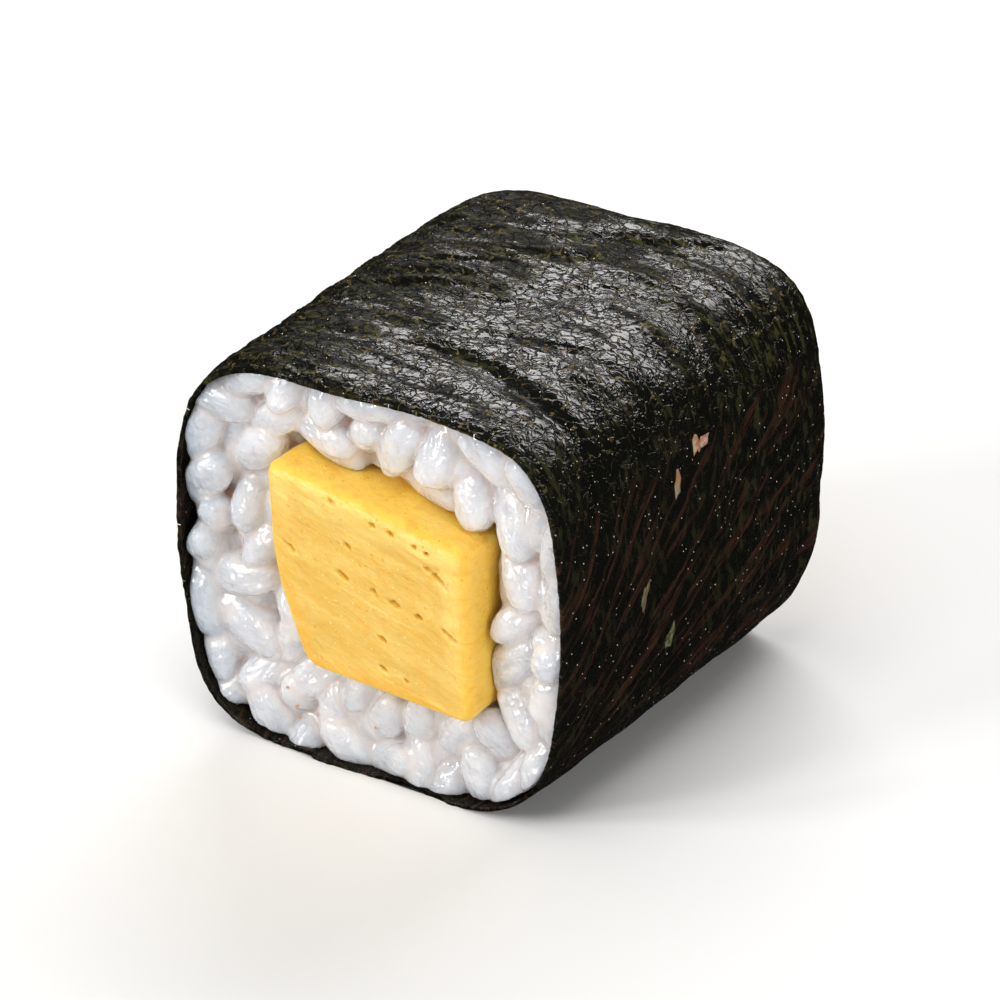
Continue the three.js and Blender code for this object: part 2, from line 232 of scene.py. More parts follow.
class Graph:  # builds one node tree
    def __init__(self, tree):
        self.tree = tree
        self.dimensions = "3D"  # of its textures

    def node(self, kind, settings=None, inputs=None, output=0):
        made = self.tree.nodes.new(kind)
        for key, value in (settings or {}).items():
            setattr(made, key, value)
        for key, value in (inputs or {}).items():
            if isinstance(value, Wire):
                self.tree.links.new(value.socket, made.inputs[key])
            else:
                made.inputs[key].default_value = value
        return Wire(self, made.outputs[output]) if len(made.outputs) else made

    def maths(self, operation, *values):
        return self.node("ShaderNodeMath", {"operation": operation}, dict(enumerate(values)))

    def vector(self, operation, first, second=None, scale=None):
        inputs = {0: first}
        if second is not None:
            inputs[1] = second
        if scale is not None:
            inputs["Scale"] = scale
        output = 1 if operation == "DOT_PRODUCT" else 0
        return self.node("ShaderNodeVectorMath", {"operation": operation}, inputs, output)

    def parts(self, vector):
        made = self.node("ShaderNodeSeparateXYZ", None, {0: vector})
        return [Wire(self, socket) for socket in made.socket.node.outputs]

    def joined(self, x, y, z):
        return self.node("ShaderNodeCombineXYZ", None, {0: x, 1: y, 2: z})

    def mixed(self, factor, first, second):  # two colours
        values = {0: factor, 6: first, 7: second}
        return self.node("ShaderNodeMix", {"data_type": "RGBA"}, values, 2)

    def laidOver(self, base, layers):  # shares and colours, laid over a base colour in turn
        for share, over in layers:
            base = self.mixed(share, base, over)
        return base

    def given(self, name, output="Fac"):  # what the mesh stores for its points
        return self.node("ShaderNodeAttribute", {"attribute_name": name}, None, output)

    def objectPlace(self):  # in millimetres
        place = self.node("ShaderNodeTexCoord", None, None, "Object")
        return self.vector("SCALE", place, scale=1 / mm)

    def noise(self, place, scale, detail=2, distortion=0, output=0):
        values = {"Vector": place, "Scale": scale, "Detail": detail, "Distortion": distortion}
        return self.node("ShaderNodeTexNoise", {"noise_dimensions": self.dimensions}, values, output)

    def cells(self, place, scale, feature="F1"):  # its outputs by name
        values = {"Vector": place, "Scale": scale}
        settings = {"feature": feature, "voronoi_dimensions": self.dimensions}
        made = self.node("ShaderNodeTexVoronoi", settings, values)
        return {socket.name: Wire(self, socket) for socket in made.socket.node.outputs}


def colour(red, green, blue):
    return (red, green, blue, 1)


def newMaterial(name):
    material = bpy.data.materials.new(name)
    material.use_nodes = True
    material.node_tree.nodes.clear()
    return material, Graph(material.node_tree)


def finishMaterial(graph, height, lift, *finishes, share=0):  # lift is the bump's full height
    bump = {"Height": height, "Distance": lift * mm, "Strength": 1}
    normal = graph.node("ShaderNodeBump", None, bump)
    surfaces = []
    for sockets in finishes:
        surfaces.append(graph.node("ShaderNodeBsdfPrincipled", None, {**sockets, "Normal": normal}))
    surface = surfaces[0]
    if len(surfaces) == 2:  # share is how much of the second finish shows
        surface = graph.node("ShaderNodeMixShader", None, {0: share, 1: surfaces[0], 2: surfaces[1]})
    graph.node("ShaderNodeOutputMaterial", None, {"Surface": surface})


# the roll's own section

def sectionTable():  # the section in fine steps, anticlockwise from the middle of its underside
    turn = np.linspace(-0.25, 0.75, 2 * roll["halfSteps"] + 1) * 2 * math.pi
    reach = 1 + sum(share * np.cos(lobes * turn - start) for lobes, share, start in roll["squeeze"])
    power = 2 / roll["squareness"]
    x = np.sign(np.cos(turn)) * np.abs(np.cos(turn)) ** power * reach * roll["width"] / 2
    z = np.sign(np.sin(turn)) * np.abs(np.sin(turn)) ** power * reach * roll["height"] / 2
    run = np.concatenate(([0], np.cumsum(np.hypot(np.diff(x), np.diff(z)))))
    return run, x, z


sectionRun, sectionX, sectionZ = sectionTable()
girth = sectionRun[-1]


def sectionPlace(u):
    run = np.asarray(u) % 1 * girth
    return np.interp(run, sectionRun, sectionX), np.interp(run, sectionRun, sectionZ)


def swellAt(y):
    return 1 + roll["backSwell"] * (y / roll["length"] + 0.5)


def rollPoints(u, y, inset):  # points of the section at shares u of its girth, brought in by inset
    reach = roll["tangentReach"] / girth
    x, z = sectionPlace(u)
    ahead, behind = sectionPlace(u + reach), sectionPlace(u - reach)
    alongX, alongZ = ahead[0] - behind[0], ahead[1] - behind[1]
    length = np.hypot(alongX, alongZ)
    swell = swellAt(y)
    x = (x - alongZ / length * inset) * swell
    z = (z + alongX / length * inset + roll["height"] / 2) * swell - roll["flatDepth"]
    return np.stack((x, y + roll["shift"], np.maximum(z, inset)), -1)


def aboutAxis(x, y, z):  # points from places about the middle of the roll
    return np.stack((x, y + roll["shift"], z + roll["middle"]), -1)


def reachTable(x, z):  # distance from the axis by angle, for an outline
    angle = np.arctan2(z, x)
    order = np.argsort(angle)
    return angle[order], np.hypot(x, z)[order]


def reachAt(table, angle):
    wrapped = (angle + math.pi) % (2 * math.pi) - math.pi
    return np.interp(wrapped, table[0], table[1], period=2 * math.pi)


# the sheet of nori

sheet = {
    "columns": 520,
    "rows": 168,
    "wall": 0.26,
    "lapAt": -4.5,  # x of the outer end, on the underside
    "lapStep": 0.22,
    "folds": [  # x and y where it crosses the top, slant, reach, height, breadth
        (6, -9.6, -0.12, 10, -0.42, 0.85),
        (4, -5, 0.12, 8, -0.3, 0.8),
        (0, -5.3, 0.36, 9, 0.2, 1.2),
        (2.5, 1.8, 0.68, 10, -0.24, 1.4),
        (-3, 6.5, 0.55, 9, 0.22, 1.5),
        (6, 9.5, 0.4, 8, -0.18, 1.6),
        (15, 2, 1.6, 12, 0.22, 1.5),
        (20, -7, 1.3, 10, -0.2, 1.5),
        (24, 6, 1.7, 12, -0.2, 1.6),
        (-16, -3, 0.9, 11, 0.2, 1.6),
        (-22, 7, 1.2, 11, -0.2, 1.6),
    ],
    "crinkle": {"height": 0.07, "pitch": 7},
    "rimCalm": 1 / 6,  # share of the length over which folds fade towards a cut edge
    "flatFrom": (0.3, 0.42),  # shares of the girth from the top where folds fade to the flat
    "rimWaves": [(0.16, 9, 0), (0.1, 3, 1)],  # height, count, turn
    "rimBeads": {"height": 0.05, "pitch": 0.35},
    "rimDrop": (0.32, 0.8),  # how far the cut edges turn in, and over what length
    "rimRings": (0, 0.1, 0.3, 0.6, 1, 1.5, 2.2, 3, 4, 6),  # places of the inner face's rings, from the rim
    "net": {"pitch": 0.95, "tilt": (0.05, 0.08), "pucker": 0.03, "jogPitch": 0.8, "jog": 0.22},
    "wrinkle": {
        "height": 0.25,
        "across": 1.8,
        "along": 6,
        "bow": 0.012,
        "bowMiddle": 5,
        "fanFrom": -4,
        "widening": (0.025, 0.6, 1.6),  # for each millimetre to the right, least and most
        "warp": 0.8,
        "warpPitch": 5,
    },
    "calmer": {"right": (-5, 5), "front": (-1, 7), "side": (14, 20)},  # where wrinkles fade
}


def foldRelief(around, y):
    height = 0
    for x, foldY, slant, reach, rise, breadth in sheet["folds"]:
        run = 1 / math.hypot(1, slant)
        along = ((around - x) + (y - foldY) * slant) * run
        across = ((y - foldY) - (around - x) * slant) * run
        bend = across + 0.6 * np.sin(along / 3 + x)
        height = height + rise * np.exp(-((bend / breadth) ** 2) - (along / reach) ** 4)
    wave = 2 * math.pi / sheet["crinkle"]["pitch"]
    crossing = np.sin(wave * (around + 0.8 * y)) * np.sin(wave * (0.9 * y - 0.4 * around))
    return height + sheet["crinkle"]["height"] * crossing


def fineRelief(around, y):  # wrinkles that run round the roll, and the net of puckered plates
    wrinkle, net, calm = sheet["wrinkle"], sheet["net"], sheet["calmer"]
    flat = np.stack((around, y), -1)
    warp = latticeNoise(flat / wrinkle["warpPitch"], seeds["wrinkleWarp"])
    bowed = y + wrinkle["bow"] * (around - wrinkle["bowMiddle"]) ** 2 + wrinkle["warp"] * warp
    slope, least, most = wrinkle["widening"]
    widened = np.clip(1 + slope * around, least, most)  # they are closest on the left
    crossing = (bowed - wrinkle["fanFrom"]) / (wrinkle["across"] * widened)
    soft = latticeNoise(np.stack((around / wrinkle["along"], crossing), -1), seeds["softWrinkle"])
    beside = np.stack((around / wrinkle["along"] + 9, crossing * 1.2), -1)
    sharp = 0.5 - np.abs(latticeNoise(beside, seeds["sharpWrinkle"]))
    calmer = smoothStep(*calm["right"], around) * (1 - smoothStep(*calm["front"], y))
    calmer = calmer * (1 - smoothStep(*calm["side"], around))
    strength = wrinkle["height"] * (1.1 - 0.9 * calmer)
    jog = np.stack([latticeNoise(flat / net["jogPitch"], seeds["netJog"] + k) for k in range(2)], -1)
    places = (flat + net["jog"] * jog) / net["pitch"]
    nearest, second, offset, draws = cellNoise(places.reshape(-1, 2), seeds["net"])
    flatTilt, fullTilt = net["tilt"]
    tilt = (offset * draws).sum(-1).reshape(around.shape) * net["pitch"]
    tilt = tilt * (fullTilt + (flatTilt - fullTilt) * calmer)
    pucker = net["pucker"] * smoothStep(0, 0.35, second - nearest).reshape(around.shape)
    return strength * (0.8 * soft + sharp) + tilt + pucker


def rimDrop(depth):  # how far the sheet has turned in at a depth behind a cut edge
    height, length = sheet["rimDrop"]
    return height * np.exp(-depth / length)


def rimWave(u):
    wave = sum(height * np.sin(2 * math.pi * count * u + turn) for height, count, turn in sheet["rimWaves"])
    beads = sheet["rimBeads"]
    bead = latticeNoise(np.stack((u * girth / beads["pitch"], u * 0), -1), seeds["rimBeads"])
    return wave + beads["height"] * bead


def aroundSheet(u):  # distance round the flat sheet from the middle of its top
    wound = np.where(u > 1 + sheet["lapAt"] / girth, u - 1, u)
    return (0.5 - wound) * girth


def sheetSkin(u, y, depth, outside):  # points of the sheet's outer or inner face
    fromEdge = depth / roll["length"]
    calm = np.minimum(1, fromEdge / sheet["rimCalm"])
    above = 1 - smoothStep(*sheet["flatFrom"], np.abs(0.5 - u))
    relief = foldRelief((0.5 - u) * girth, y) * calm * above
    detail = fineRelief(aroundSheet(u), y) * (0.35 + 0.65 * smoothStep(0, 0.06, fromEdge))
    relief = relief + (detail if outside else 0.4 * detail) * (0.25 + 0.75 * above)
    relief = relief - rimDrop(depth) * above
    under = rollPoints(u, y, 0)[..., 0]
    lapped = (np.abs(0.5 - u) > sheet["flatFrom"][0]) & (under < sheet["lapAt"])
    relief = relief - np.where(lapped, sheet["lapStep"] * np.exp(-(sheet["lapAt"] - under) / 2.5), 0)
    points = rollPoints(u, y, -relief if outside else sheet["wall"] - relief)
    points[..., 2] = np.maximum(points[..., 2], 0 if outside else sheet["wall"])
    return points


def sheetRing(u, share, outside):  # one ring of points, with its unrolled places
    atRim = math.isclose(abs(share), 0.5)
    y = np.full_like(u, share * roll["length"]) + (rimWave(u) if atRim else 0)
    points = sheetSkin(u, y, (0.5 - abs(share)) * roll["length"], outside)
    return points, np.stack((aroundSheet(u), y, np.full_like(u, 0 if outside else 5)), -1)


def makeSheet(material):
    u = np.arange(sheet["columns"]) / sheet["columns"]
    outer = np.linspace(-0.5, 0.5, sheet["rows"] + 1)
    rim = 0.5 - np.array(sheet["rimRings"]) / roll["length"]
    inner = np.concatenate((rim, [0], -rim[::-1]))
    rings = [sheetRing(u, share, True) for share in outer]
    rings += [sheetRing(u, share, False) for share in inner]
    points = np.concatenate([ring[0] for ring in rings])
    places = np.concatenate([ring[1] for ring in rings])
    faces = ringFaces(len(rings), len(u), True)
    return addMesh("noriSheet", points, faces, material, {"sheetPlace": places})


sheetLook = {
    "film": colour(0.0045, 0.0048, 0.0034),
    "olive": colour(0.038, 0.038, 0.014),
    # gold: the net lines' own olive-brown, with painted golden highlights along them
    "gold": colour(0.13, 0.095, 0.035),
    "brown": colour(0.042, 0.018, 0.010),
    "line": colour(0.006, 0.006, 0.003),
    # specks: painted glints, tiny bright dots that stand in for sparkles of light
    "specks": (colour(0.95, 0.68, 0.36), colour(0.62, 0.72, 0.82)),
    "gloss": (0.12, 0.24),  # roughness of the smoothest and the dullest film
    "felt": 0.36,  # roughness of the matted parts
    "relief": 0.16,
    "cellScale": 1,
    "curlScale": 0.7,
    "glintScale": 2.1,
    "fanFrom": (50, 36),  # the brown strands on the sides spread from a far point
}


def sheetStrands(graph, side, along):  # coarse and fine strands that fan out over the sides
    fanAcross, fanAlong = sheetLook["fanFrom"]
    fanDown, fanBack = fanAcross - side, along + fanAlong
    fanReach = (fanDown * fanDown + fanBack * fanBack) ** 0.5
    fanTurn = graph.maths("ARCTAN2", fanDown, fanBack)
    place = graph.joined(fanTurn * 40, fanReach * 0.09, 0)
    return graph.noise(place, 1.5, 3, 0.5), graph.noise(place, 4.5, 2, 0.3)


def sheetPaintedGlints(graph, place):  # share and colour of tiny bright specks, painted glints that stand in for sparkles of light on the film
    dots = graph.cells(place, sheetLook["glintScale"])
    draw = graph.parts(dots["Color"])
    share = (1 - dots["Distance"].between(0.05, 0.12)) * draw[0].between(0.9, 0.92)
    return share, graph.mixed(draw[1], *sheetLook["specks"])


def sheetMaterial():
    material, graph = newMaterial("noriFilm")
    graph.dimensions = "2D"
    place = graph.given("sheetPlace", "Vector")
    around, along, _ = graph.parts(place)
    side = abs(around)
    jog = graph.noise(place, 1.2, 2, output="Color")
    warped = graph.vector("ADD", place, graph.vector("SCALE", jog, scale=0.9))
    cell = graph.cells(warped, sheetLook["cellScale"])
    edge = graph.cells(warped, sheetLook["cellScale"], "DISTANCE_TO_EDGE")["Distance"]
    offset = graph.vector("SUBTRACT", warped, cell["Position"])
    way = graph.vector("SUBTRACT", cell["Color"], (0.5, 0.5, 0.5))
    tilt = graph.vector("DOT_PRODUCT", offset, way)
    pucker = edge.between(0, 0.1)
    contour = graph.noise(warped, sheetLook["curlScale"], 1, 1.2) * 4 + graph.parts(cell["Color"])[0] * 2
    curl = graph.maths("PINGPONG", contour, 0.5)
    blotch = graph.noise(place, 0.25, 3)
    breaks = graph.noise(place, 0.9, 1).between(0.48, 0.58)
    curlLines = (1 - curl.between(0.02, 0.09)) * breaks
    lines = graph.maths("MAXIMUM", 1 - edge.between(0.015, 0.08), curlLines)
    onSide = (side + blotch * 4).between(18.5, 21.5)
    strand, fibre = sheetStrands(graph, side, along)
    strandShare = strand.between(0.5, 0.68) * (0.3 + 0.7 * fibre.between(0.35, 0.62)) * onSide
    calmer = around.between(-5, 4) * (1 - along.between(-2, 6))
    flake = graph.noise(graph.joined(around * 0.5, along * 1.5, 0), 1.3, 3)
    matted = graph.noise(graph.joined(around * 0.45, along * 1.2, 3), 0.8, 3).between(0.44, 0.56)
    matted = matted * (1 - calmer)
    oliveShare = graph.maths("MAXIMUM", matted, blotch.between(0.45, 0.6) * 0.6)
    oliveShare = oliveShare * flake.between(0.48, 0.62) * (1 - 0.5 * onSide)
    streak = graph.noise(graph.joined(around * 0.22, along * 0.8 + around * 0.03, 0), 0.8, 3, 0.4)
    shaded = streak + (1 - around.between(-12, 1)) * 0.25 + along.between(0, 14) * 0.09
    dull = graph.maths("MAXIMUM", shaded.between(0.5, 0.64), lines * 0.7)
    dull = dull * (1 - onSide) + onSide * 0.5
    # the gold on the net lines is partly their own olive-brown, partly painted highlight
    goldShare = graph.noise(place, 1.7, 1).between(0.54, 0.64) * (1 - side.between(12, 17) * 0.8)
    lineColour = graph.mixed(goldShare, sheetLook["line"], sheetLook["gold"])
    # painted glints: tiny bright dots laid over the film's colour
    speck, glintColour = sheetPaintedGlints(graph, place)
    base = graph.laidOver(sheetLook["film"], [
        (oliveShare, sheetLook["olive"]),
        (lines * (1 - 0.75 * onSide), lineColour),
        (strandShare, sheetLook["brown"]),
        (speck, glintColour),
    ])
    low, high = sheetLook["gloss"]
    rough = low + (high - low) * blotch.between(0.35, 0.75) + lines * 0.15
    rough = rough + matted * (1 - onSide) * 0.05
    height = 0.5 + tilt * (0.7 - 0.4 * calmer)
    height = height + (pucker * 0.22 + curl * 0.3 - lines * 0.12) * (1 - onSide * 0.5)
    height = height + flake * (0.15 + 0.3 * matted) * (1 - calmer)
    height = height + (strand * 0.6 + fibre * 0.3) * onSide + speck * 0.2
    film = {"Base Color": base, "Roughness": rough, "Specular IOR Level": 0.42}
    felt = {"Base Color": base, "Roughness": sheetLook["felt"], "Specular IOR Level": 0.03}
    finishMaterial(graph, height, sheetLook["relief"], film, felt, share=dull)
    return material


# the omelette

omelette = {
    "corners": [(-7, 8.1, 1.3), (-6.6, 0.3, 3), (-4, -6.3, 1.2), (8.9, -6.9, 1), (8.5, 5.5, 1.2)],
    "edge": 0.9,  # rounding of the cut edges
    "around": 400,
    "capRings": 60,
    "edgeRings": 9,
    "sideRings": 56,
    "notches": [(-6.4, 2.7, 0.3, 0.5), (-4.5, -4.6, 0.25, 0.5)],  # x, z, depth, breadth, where layers end
    "wobble": [(3.2, 0.6), (1.1, 0.4)],  # size and share
    "layerSlant": -0.22,
    "layerMiddle": 1.2,
    "layers": [
        (5.7, [(-4.3, 0.8), (-1, 0.8), (0.5, 0.7), (2.3, 0.8), (3.3, 0.5)]),
        (4.4, [(4.2, 2.6)]),
        (3.1, [(-2.5, 0.8)]),
        (0.8, [(-6.7, 2.4), (-2.3, 1.4), (0.2, 0.9), (1.8, 1.2), (3.7, 0.8), (6.2, 1.6)]),
        (-2.1, [(1.5, 0.9)]),
        (-4.3, [(2, 0.8), (3.9, 0.6)]),
    ],
    "pore": {"height": 0.5, "depth": 0.4, "tilt": -0.28, "ragged": [(0.35, 0.35), (0.16, 0.15)]},
    "brow": {"rise": 0.2, "from": 1.3, "to": 2.6, "lowerDeep": 1.8},  # paler upper edges, a raised ridge partly painted light, and deeper lower edges
    "step": {"height": 0.07, "layer": 2.3},  # how far one layer stands out from the next
    "unevenness": 0.1,
}


def omeletteOutline(margin):  # the section as a closed run of points about the axis
    corners = np.array([corner[:2] for corner in omelette["corners"]], float)
    before = corners - np.roll(corners, 1, 0)
    after = np.roll(corners, -1, 0) - corners
    before /= np.linalg.norm(before, axis=1)[:, None]
    after /= np.linalg.norm(after, axis=1)[:, None]
    outward = np.stack((before[:, 1] + after[:, 1], -before[:, 0] - after[:, 0]), -1)
    grown = corners + outward * (margin / (1 + (before * after).sum(1)))[:, None]
    points = []
    for i, corner in enumerate(grown):
        radius = omelette["corners"][i][2]
        last, following = grown[i - 1] - corner, grown[(i + 1) % len(grown)] - corner
        start = corner + last / np.linalg.norm(last) * radius
        end = corner + following / np.linalg.norm(following) * radius
        for t in np.linspace(0, 1, 24):
            points.append((1 - t) ** 2 * start + 2 * t * (1 - t) * corner + t * t * end)
    points = np.array(points + points[:1])
    run = np.concatenate(([0], np.cumsum(np.linalg.norm(np.diff(points, axis=0), axis=1))))
    even = np.linspace(0, run[-1], 1201)[:-1]
    return np.interp(even, run, points[:, 0]), np.interp(even, run, points[:, 1])


def poreDepth(x, z, mirrored):  # share of the pores' full depth at places on a cut face
    pore = omelette["pore"]
    depth = np.zeros_like(x)
    ragged = layeredNoise(np.stack((x, z), -1), pore["ragged"], seeds["poreEdge"])
    cos, sin = math.cos(omelette["layerSlant"]), math.sin(omelette["layerSlant"])
    lean = omelette["layerSlant"] + pore["tilt"]
    for height, pores in omelette["layers"]:
        for along, length in pores:
            along = -along if mirrored else along
            overX = x - (along * cos - height * sin + omelette["layerMiddle"])
            overZ = z - (along * sin + height * cos)
            run = (overX * math.cos(lean) + overZ * math.sin(lean)) / (length / 2)
            rise = (overZ * math.cos(lean) - overX * math.sin(lean)) / (pore["height"] / 2)
            inside = 1 - np.hypot(run, rise) + ragged
            depth = np.maximum(depth, smoothStep(0, 0.9, inside))
    return depth


def layerSteps(x, z, seed):  # each layer stands out a little at its upper edge
    slant = omelette["layerSlant"]
    height = z * math.cos(slant) - x * math.sin(slant)
    row = (height + 0.5 * latticeNoise(np.stack((x, z), -1) / 4, seed)) / omelette["step"]["layer"]
    strength = smoothStep(-0.3, 0.6, latticeNoise(np.stack((x / 3.2, np.floor(row) * 5), -1), seed + 1))
    return (row - np.floor(row)) ** 3 * strength * omelette["step"]["height"]


def edgeDistance(x, z, outlineX, outlineZ):  # from places inside the section to its outline
    start = np.stack((outlineX, outlineZ), -1)
    way = np.roll(start, -1, 0) - start
    fromStart = np.stack((x, z), -1)[:, None, :] - start
    along = np.clip((fromStart * way).sum(-1) / (way ** 2).sum(-1), 0, 1)
    return np.linalg.norm(fromStart - along[..., None] * way, axis=-1).min(1)


def makeOmelette(material):
    outlineX, outlineZ = omeletteOutline(0)
    count = omelette["around"]
    pick = np.arange(count) * len(outlineX) // count
    outlineX, outlineZ = outlineX[pick], outlineZ[pick]
    middleX, middleZ = outlineX.mean(), outlineZ.mean()
    alongX = np.roll(outlineX, -1) - np.roll(outlineX, 1)
    alongZ = np.roll(outlineZ, -1) - np.roll(outlineZ, 1)
    turned = np.sign((outlineX * alongZ - outlineZ * alongX).sum())
    outward = np.stack((alongZ, -alongX), -1) * turned / np.hypot(alongX, alongZ)[:, None]
    reach = np.hypot(outlineX - middleX, outlineZ - middleZ)
    half = roll["length"] / 2
    edge, rough, brow = omelette["edge"], omelette["unevenness"], omelette["brow"]

    def capRing(facing, inset):  # inset is a distance from the outline, or a share past the edge
        shrink = 1 - inset / reach if inset < edge else (1 - edge / reach) * (edge + 1 - inset)
        x = middleX + (outlineX - middleX) * shrink
        z = middleZ + (outlineZ - middleZ) * shrink
        distance = edgeDistance(x, z, outlineX, outlineZ)
        away = np.minimum(distance, edge)
        calm = away / edge
        rounding = edge - np.sqrt(edge ** 2 - (edge - away) ** 2)
        places = np.stack((x, np.full_like(x, facing * 9.0), z), -1)
        wobble = layeredNoise(places, omelette["wobble"], seeds["cutFace"])
        pits = poreDepth(x, z, facing > 0)
        upward = 0.5 * x + 0.85 * z
        fromEdge = distance + 0.5 * wobble
        # painted light, partly: the band inside the upper edges stands raised and is painted paler where it
        # catches the light, and the colour deepens towards the lower edges
        band = (1 - smoothStep(brow["from"], brow["to"], fromEdge)) * smoothStep(-1, 3, upward)
        lowerDeep = (1 - smoothStep(0.2, brow["lowerDeep"], fromEdge)) * (1 - smoothStep(-3.5, 0.5, upward))
        steps = layerSteps(x, z, seeds["frontLayers" if facing < 0 else "backLayers"])
        relief = rough * wobble - pits * omelette["pore"]["depth"] + steps - brow["rise"] * (1 - band)
        proud = roll["omeletteProud"]["front" if facing < 0 else "back"]
        y = facing * (half + proud - rounding + relief * calm)
        return aboutAxis(x, y, z), pits * calm, band - lowerDeep, 1 - calm

    def sideRing(y):
        places = np.stack((outlineX, np.full_like(outlineX, y), outlineZ), -1)
        calm = min(1, (half + 1 - abs(y)) / 1.5)
        lift = rough * layeredNoise(places, omelette["wobble"], seeds["omeletteSide"]) * calm
        for notchX, notchZ, depth, breadth in omelette["notches"]:
            away = np.hypot(outlineX - notchX, outlineZ - notchZ) / breadth
            lift = lift - depth * np.exp(-away ** 2) * calm
        x, z = outlineX + outward[:, 0] * lift, outlineZ + outward[:, 1] * lift
        return aboutAxis(x, np.full_like(x, y), z), np.zeros(count), np.zeros(count), np.ones(count)

    turns = np.linspace(0, math.pi / 2, omelette["edgeRings"] + 1)[:-1]
    insets = np.concatenate((edge * (1 - np.cos(turns)), edge + np.linspace(0, 0.98, omelette["capRings"])))
    front = edge - half - roll["omeletteProud"]["front"]
    back = half + roll["omeletteProud"]["back"] - edge
    rings = [capRing(-1, inset) for inset in insets[::-1]]
    rings += [sideRing(y) for y in np.linspace(front, back, omelette["sideRings"])[1:-1]]
    rings += [capRing(1, inset) for inset in insets]
    poles = [ring[0].mean(0, keepdims=True) for ring in (rings[0], rings[-1])]
    points, *marks = (np.concatenate(part) for part in zip(*rings))
    points = np.concatenate((poles[0], points, poles[1]))
    values = {key: np.pad(mark, 1) for key, mark in zip(("pore", "band", "side"), marks)}
    return addMesh("tamagoOmelette", points, poledFaces(len(rings), count), material, values)


omeletteLook = {
    "egg": colour(0.725, 0.468, 0.107),
    # side: the outer skin's deeper yellow, with painted light that brightens the shaded sides
    "side": colour(0.95, 0.60, 0.085),
    "pale": colour(0.86, 0.635, 0.2),
    "deep": colour(0.77, 0.39, 0.035),
    # painted shade inside the pores
    "poreShade": colour(0.70, 0.40, 0.035),
    "glint": colour(1, 0.92, 0.66),
    "roughness": 0.3,
    "relief": 0.16,
}


def omeletteMaterial():
    material, graph = newMaterial("rolledEgg")
    place = graph.objectPlace()
    x, y, z = graph.parts(place)
    pore, brow, side = (graph.given(name) for name in ("pore", "band", "side"))
    warp = graph.noise(place, 0.28, 2)
    height = z + x * 0.22 + warp * 2.2
    layered = graph.joined(x * 0.3, y * 0.3, height * 1.5)
    band = graph.noise(layered, 0.6, 3)
    streaks = graph.noise(graph.joined(x * 0.5, y * 0.5, (z + x * 0.45) * 2.4), 1.1, 3, 0.5)
    row = graph.maths("PINGPONG", height, 1.15)
    breaks = graph.noise(graph.joined(x * 0.35, y * 0.35, height * 0.6), 0.9, 2)
    seam = (1 - row.between(0.0, 0.12)) * breaks.between(0.42, 0.62)
    mottle = graph.noise(place, 1.4, 3)
    grain = graph.noise(place, 6, 2)
    dots = graph.cells(graph.joined(x, y, (z + x * 0.5) * 1.3), 2.2)
    draw = graph.parts(dots["Color"])
    smallPores = (1 - dots["Distance"].between(0.1, 0.26)) * (1 - draw[0].between(0.2, 0.22))
    glints = (1 - dots["Distance"].between(0.07, 0.16)) * draw[0].between(0.5, 0.52)
    # the stored band paints the upper edges paler, partly as painted light, and the lower edges deeper
    paler = band.between(0.35, 0.68) * 0.5 + brow.between(0, 1) * 0.5
    look = omeletteLook
    base = graph.laidOver(look["egg"], [
        (paler, look["pale"]),
        ((0 - brow).between(0, 1) * 0.6, look["deep"]),
        # painted light, partly: the rounded edges and sides are painted brighter, making up for the shade
        # on them
        (side.between(0.1, 1) * 0.9, look["side"]),
        (streaks.between(0.5, 0.75) * 0.4, look["pale"]),
        ((1 - streaks.between(0.28, 0.46)) * 0.4, look["deep"]),
        (mottle.between(0.45, 0.75) * 0.35, look["deep"]),
        (seam * 0.25, look["deep"]),
        # painted shade: the small pits and the pores are painted deeper amber
        (smallPores * 0.5, look["deep"]),
        (pore.between(0.1, 0.7) * 0.9, look["poreShade"]),
        (glints * 0.6, look["glint"]),
    ])
    relief = grain * 0.25 + mottle * 0.9 + streaks * 0.3 - seam * 0.15 - smallPores * 0.6 + glints * 0.3
    sockets = {
        "Base Color": base,
        "Roughness": look["roughness"] + grain * 0.15,
        "Specular IOR Level": 0.45,
        "Subsurface Weight": 0.85,
        "Subsurface Radius": (1.0, 0.6, 0.2),
        "Subsurface Scale": 1.1 * mm,
    }
    finishMaterial(graph, relief, look["relief"], sockets)
    return material


# the rice

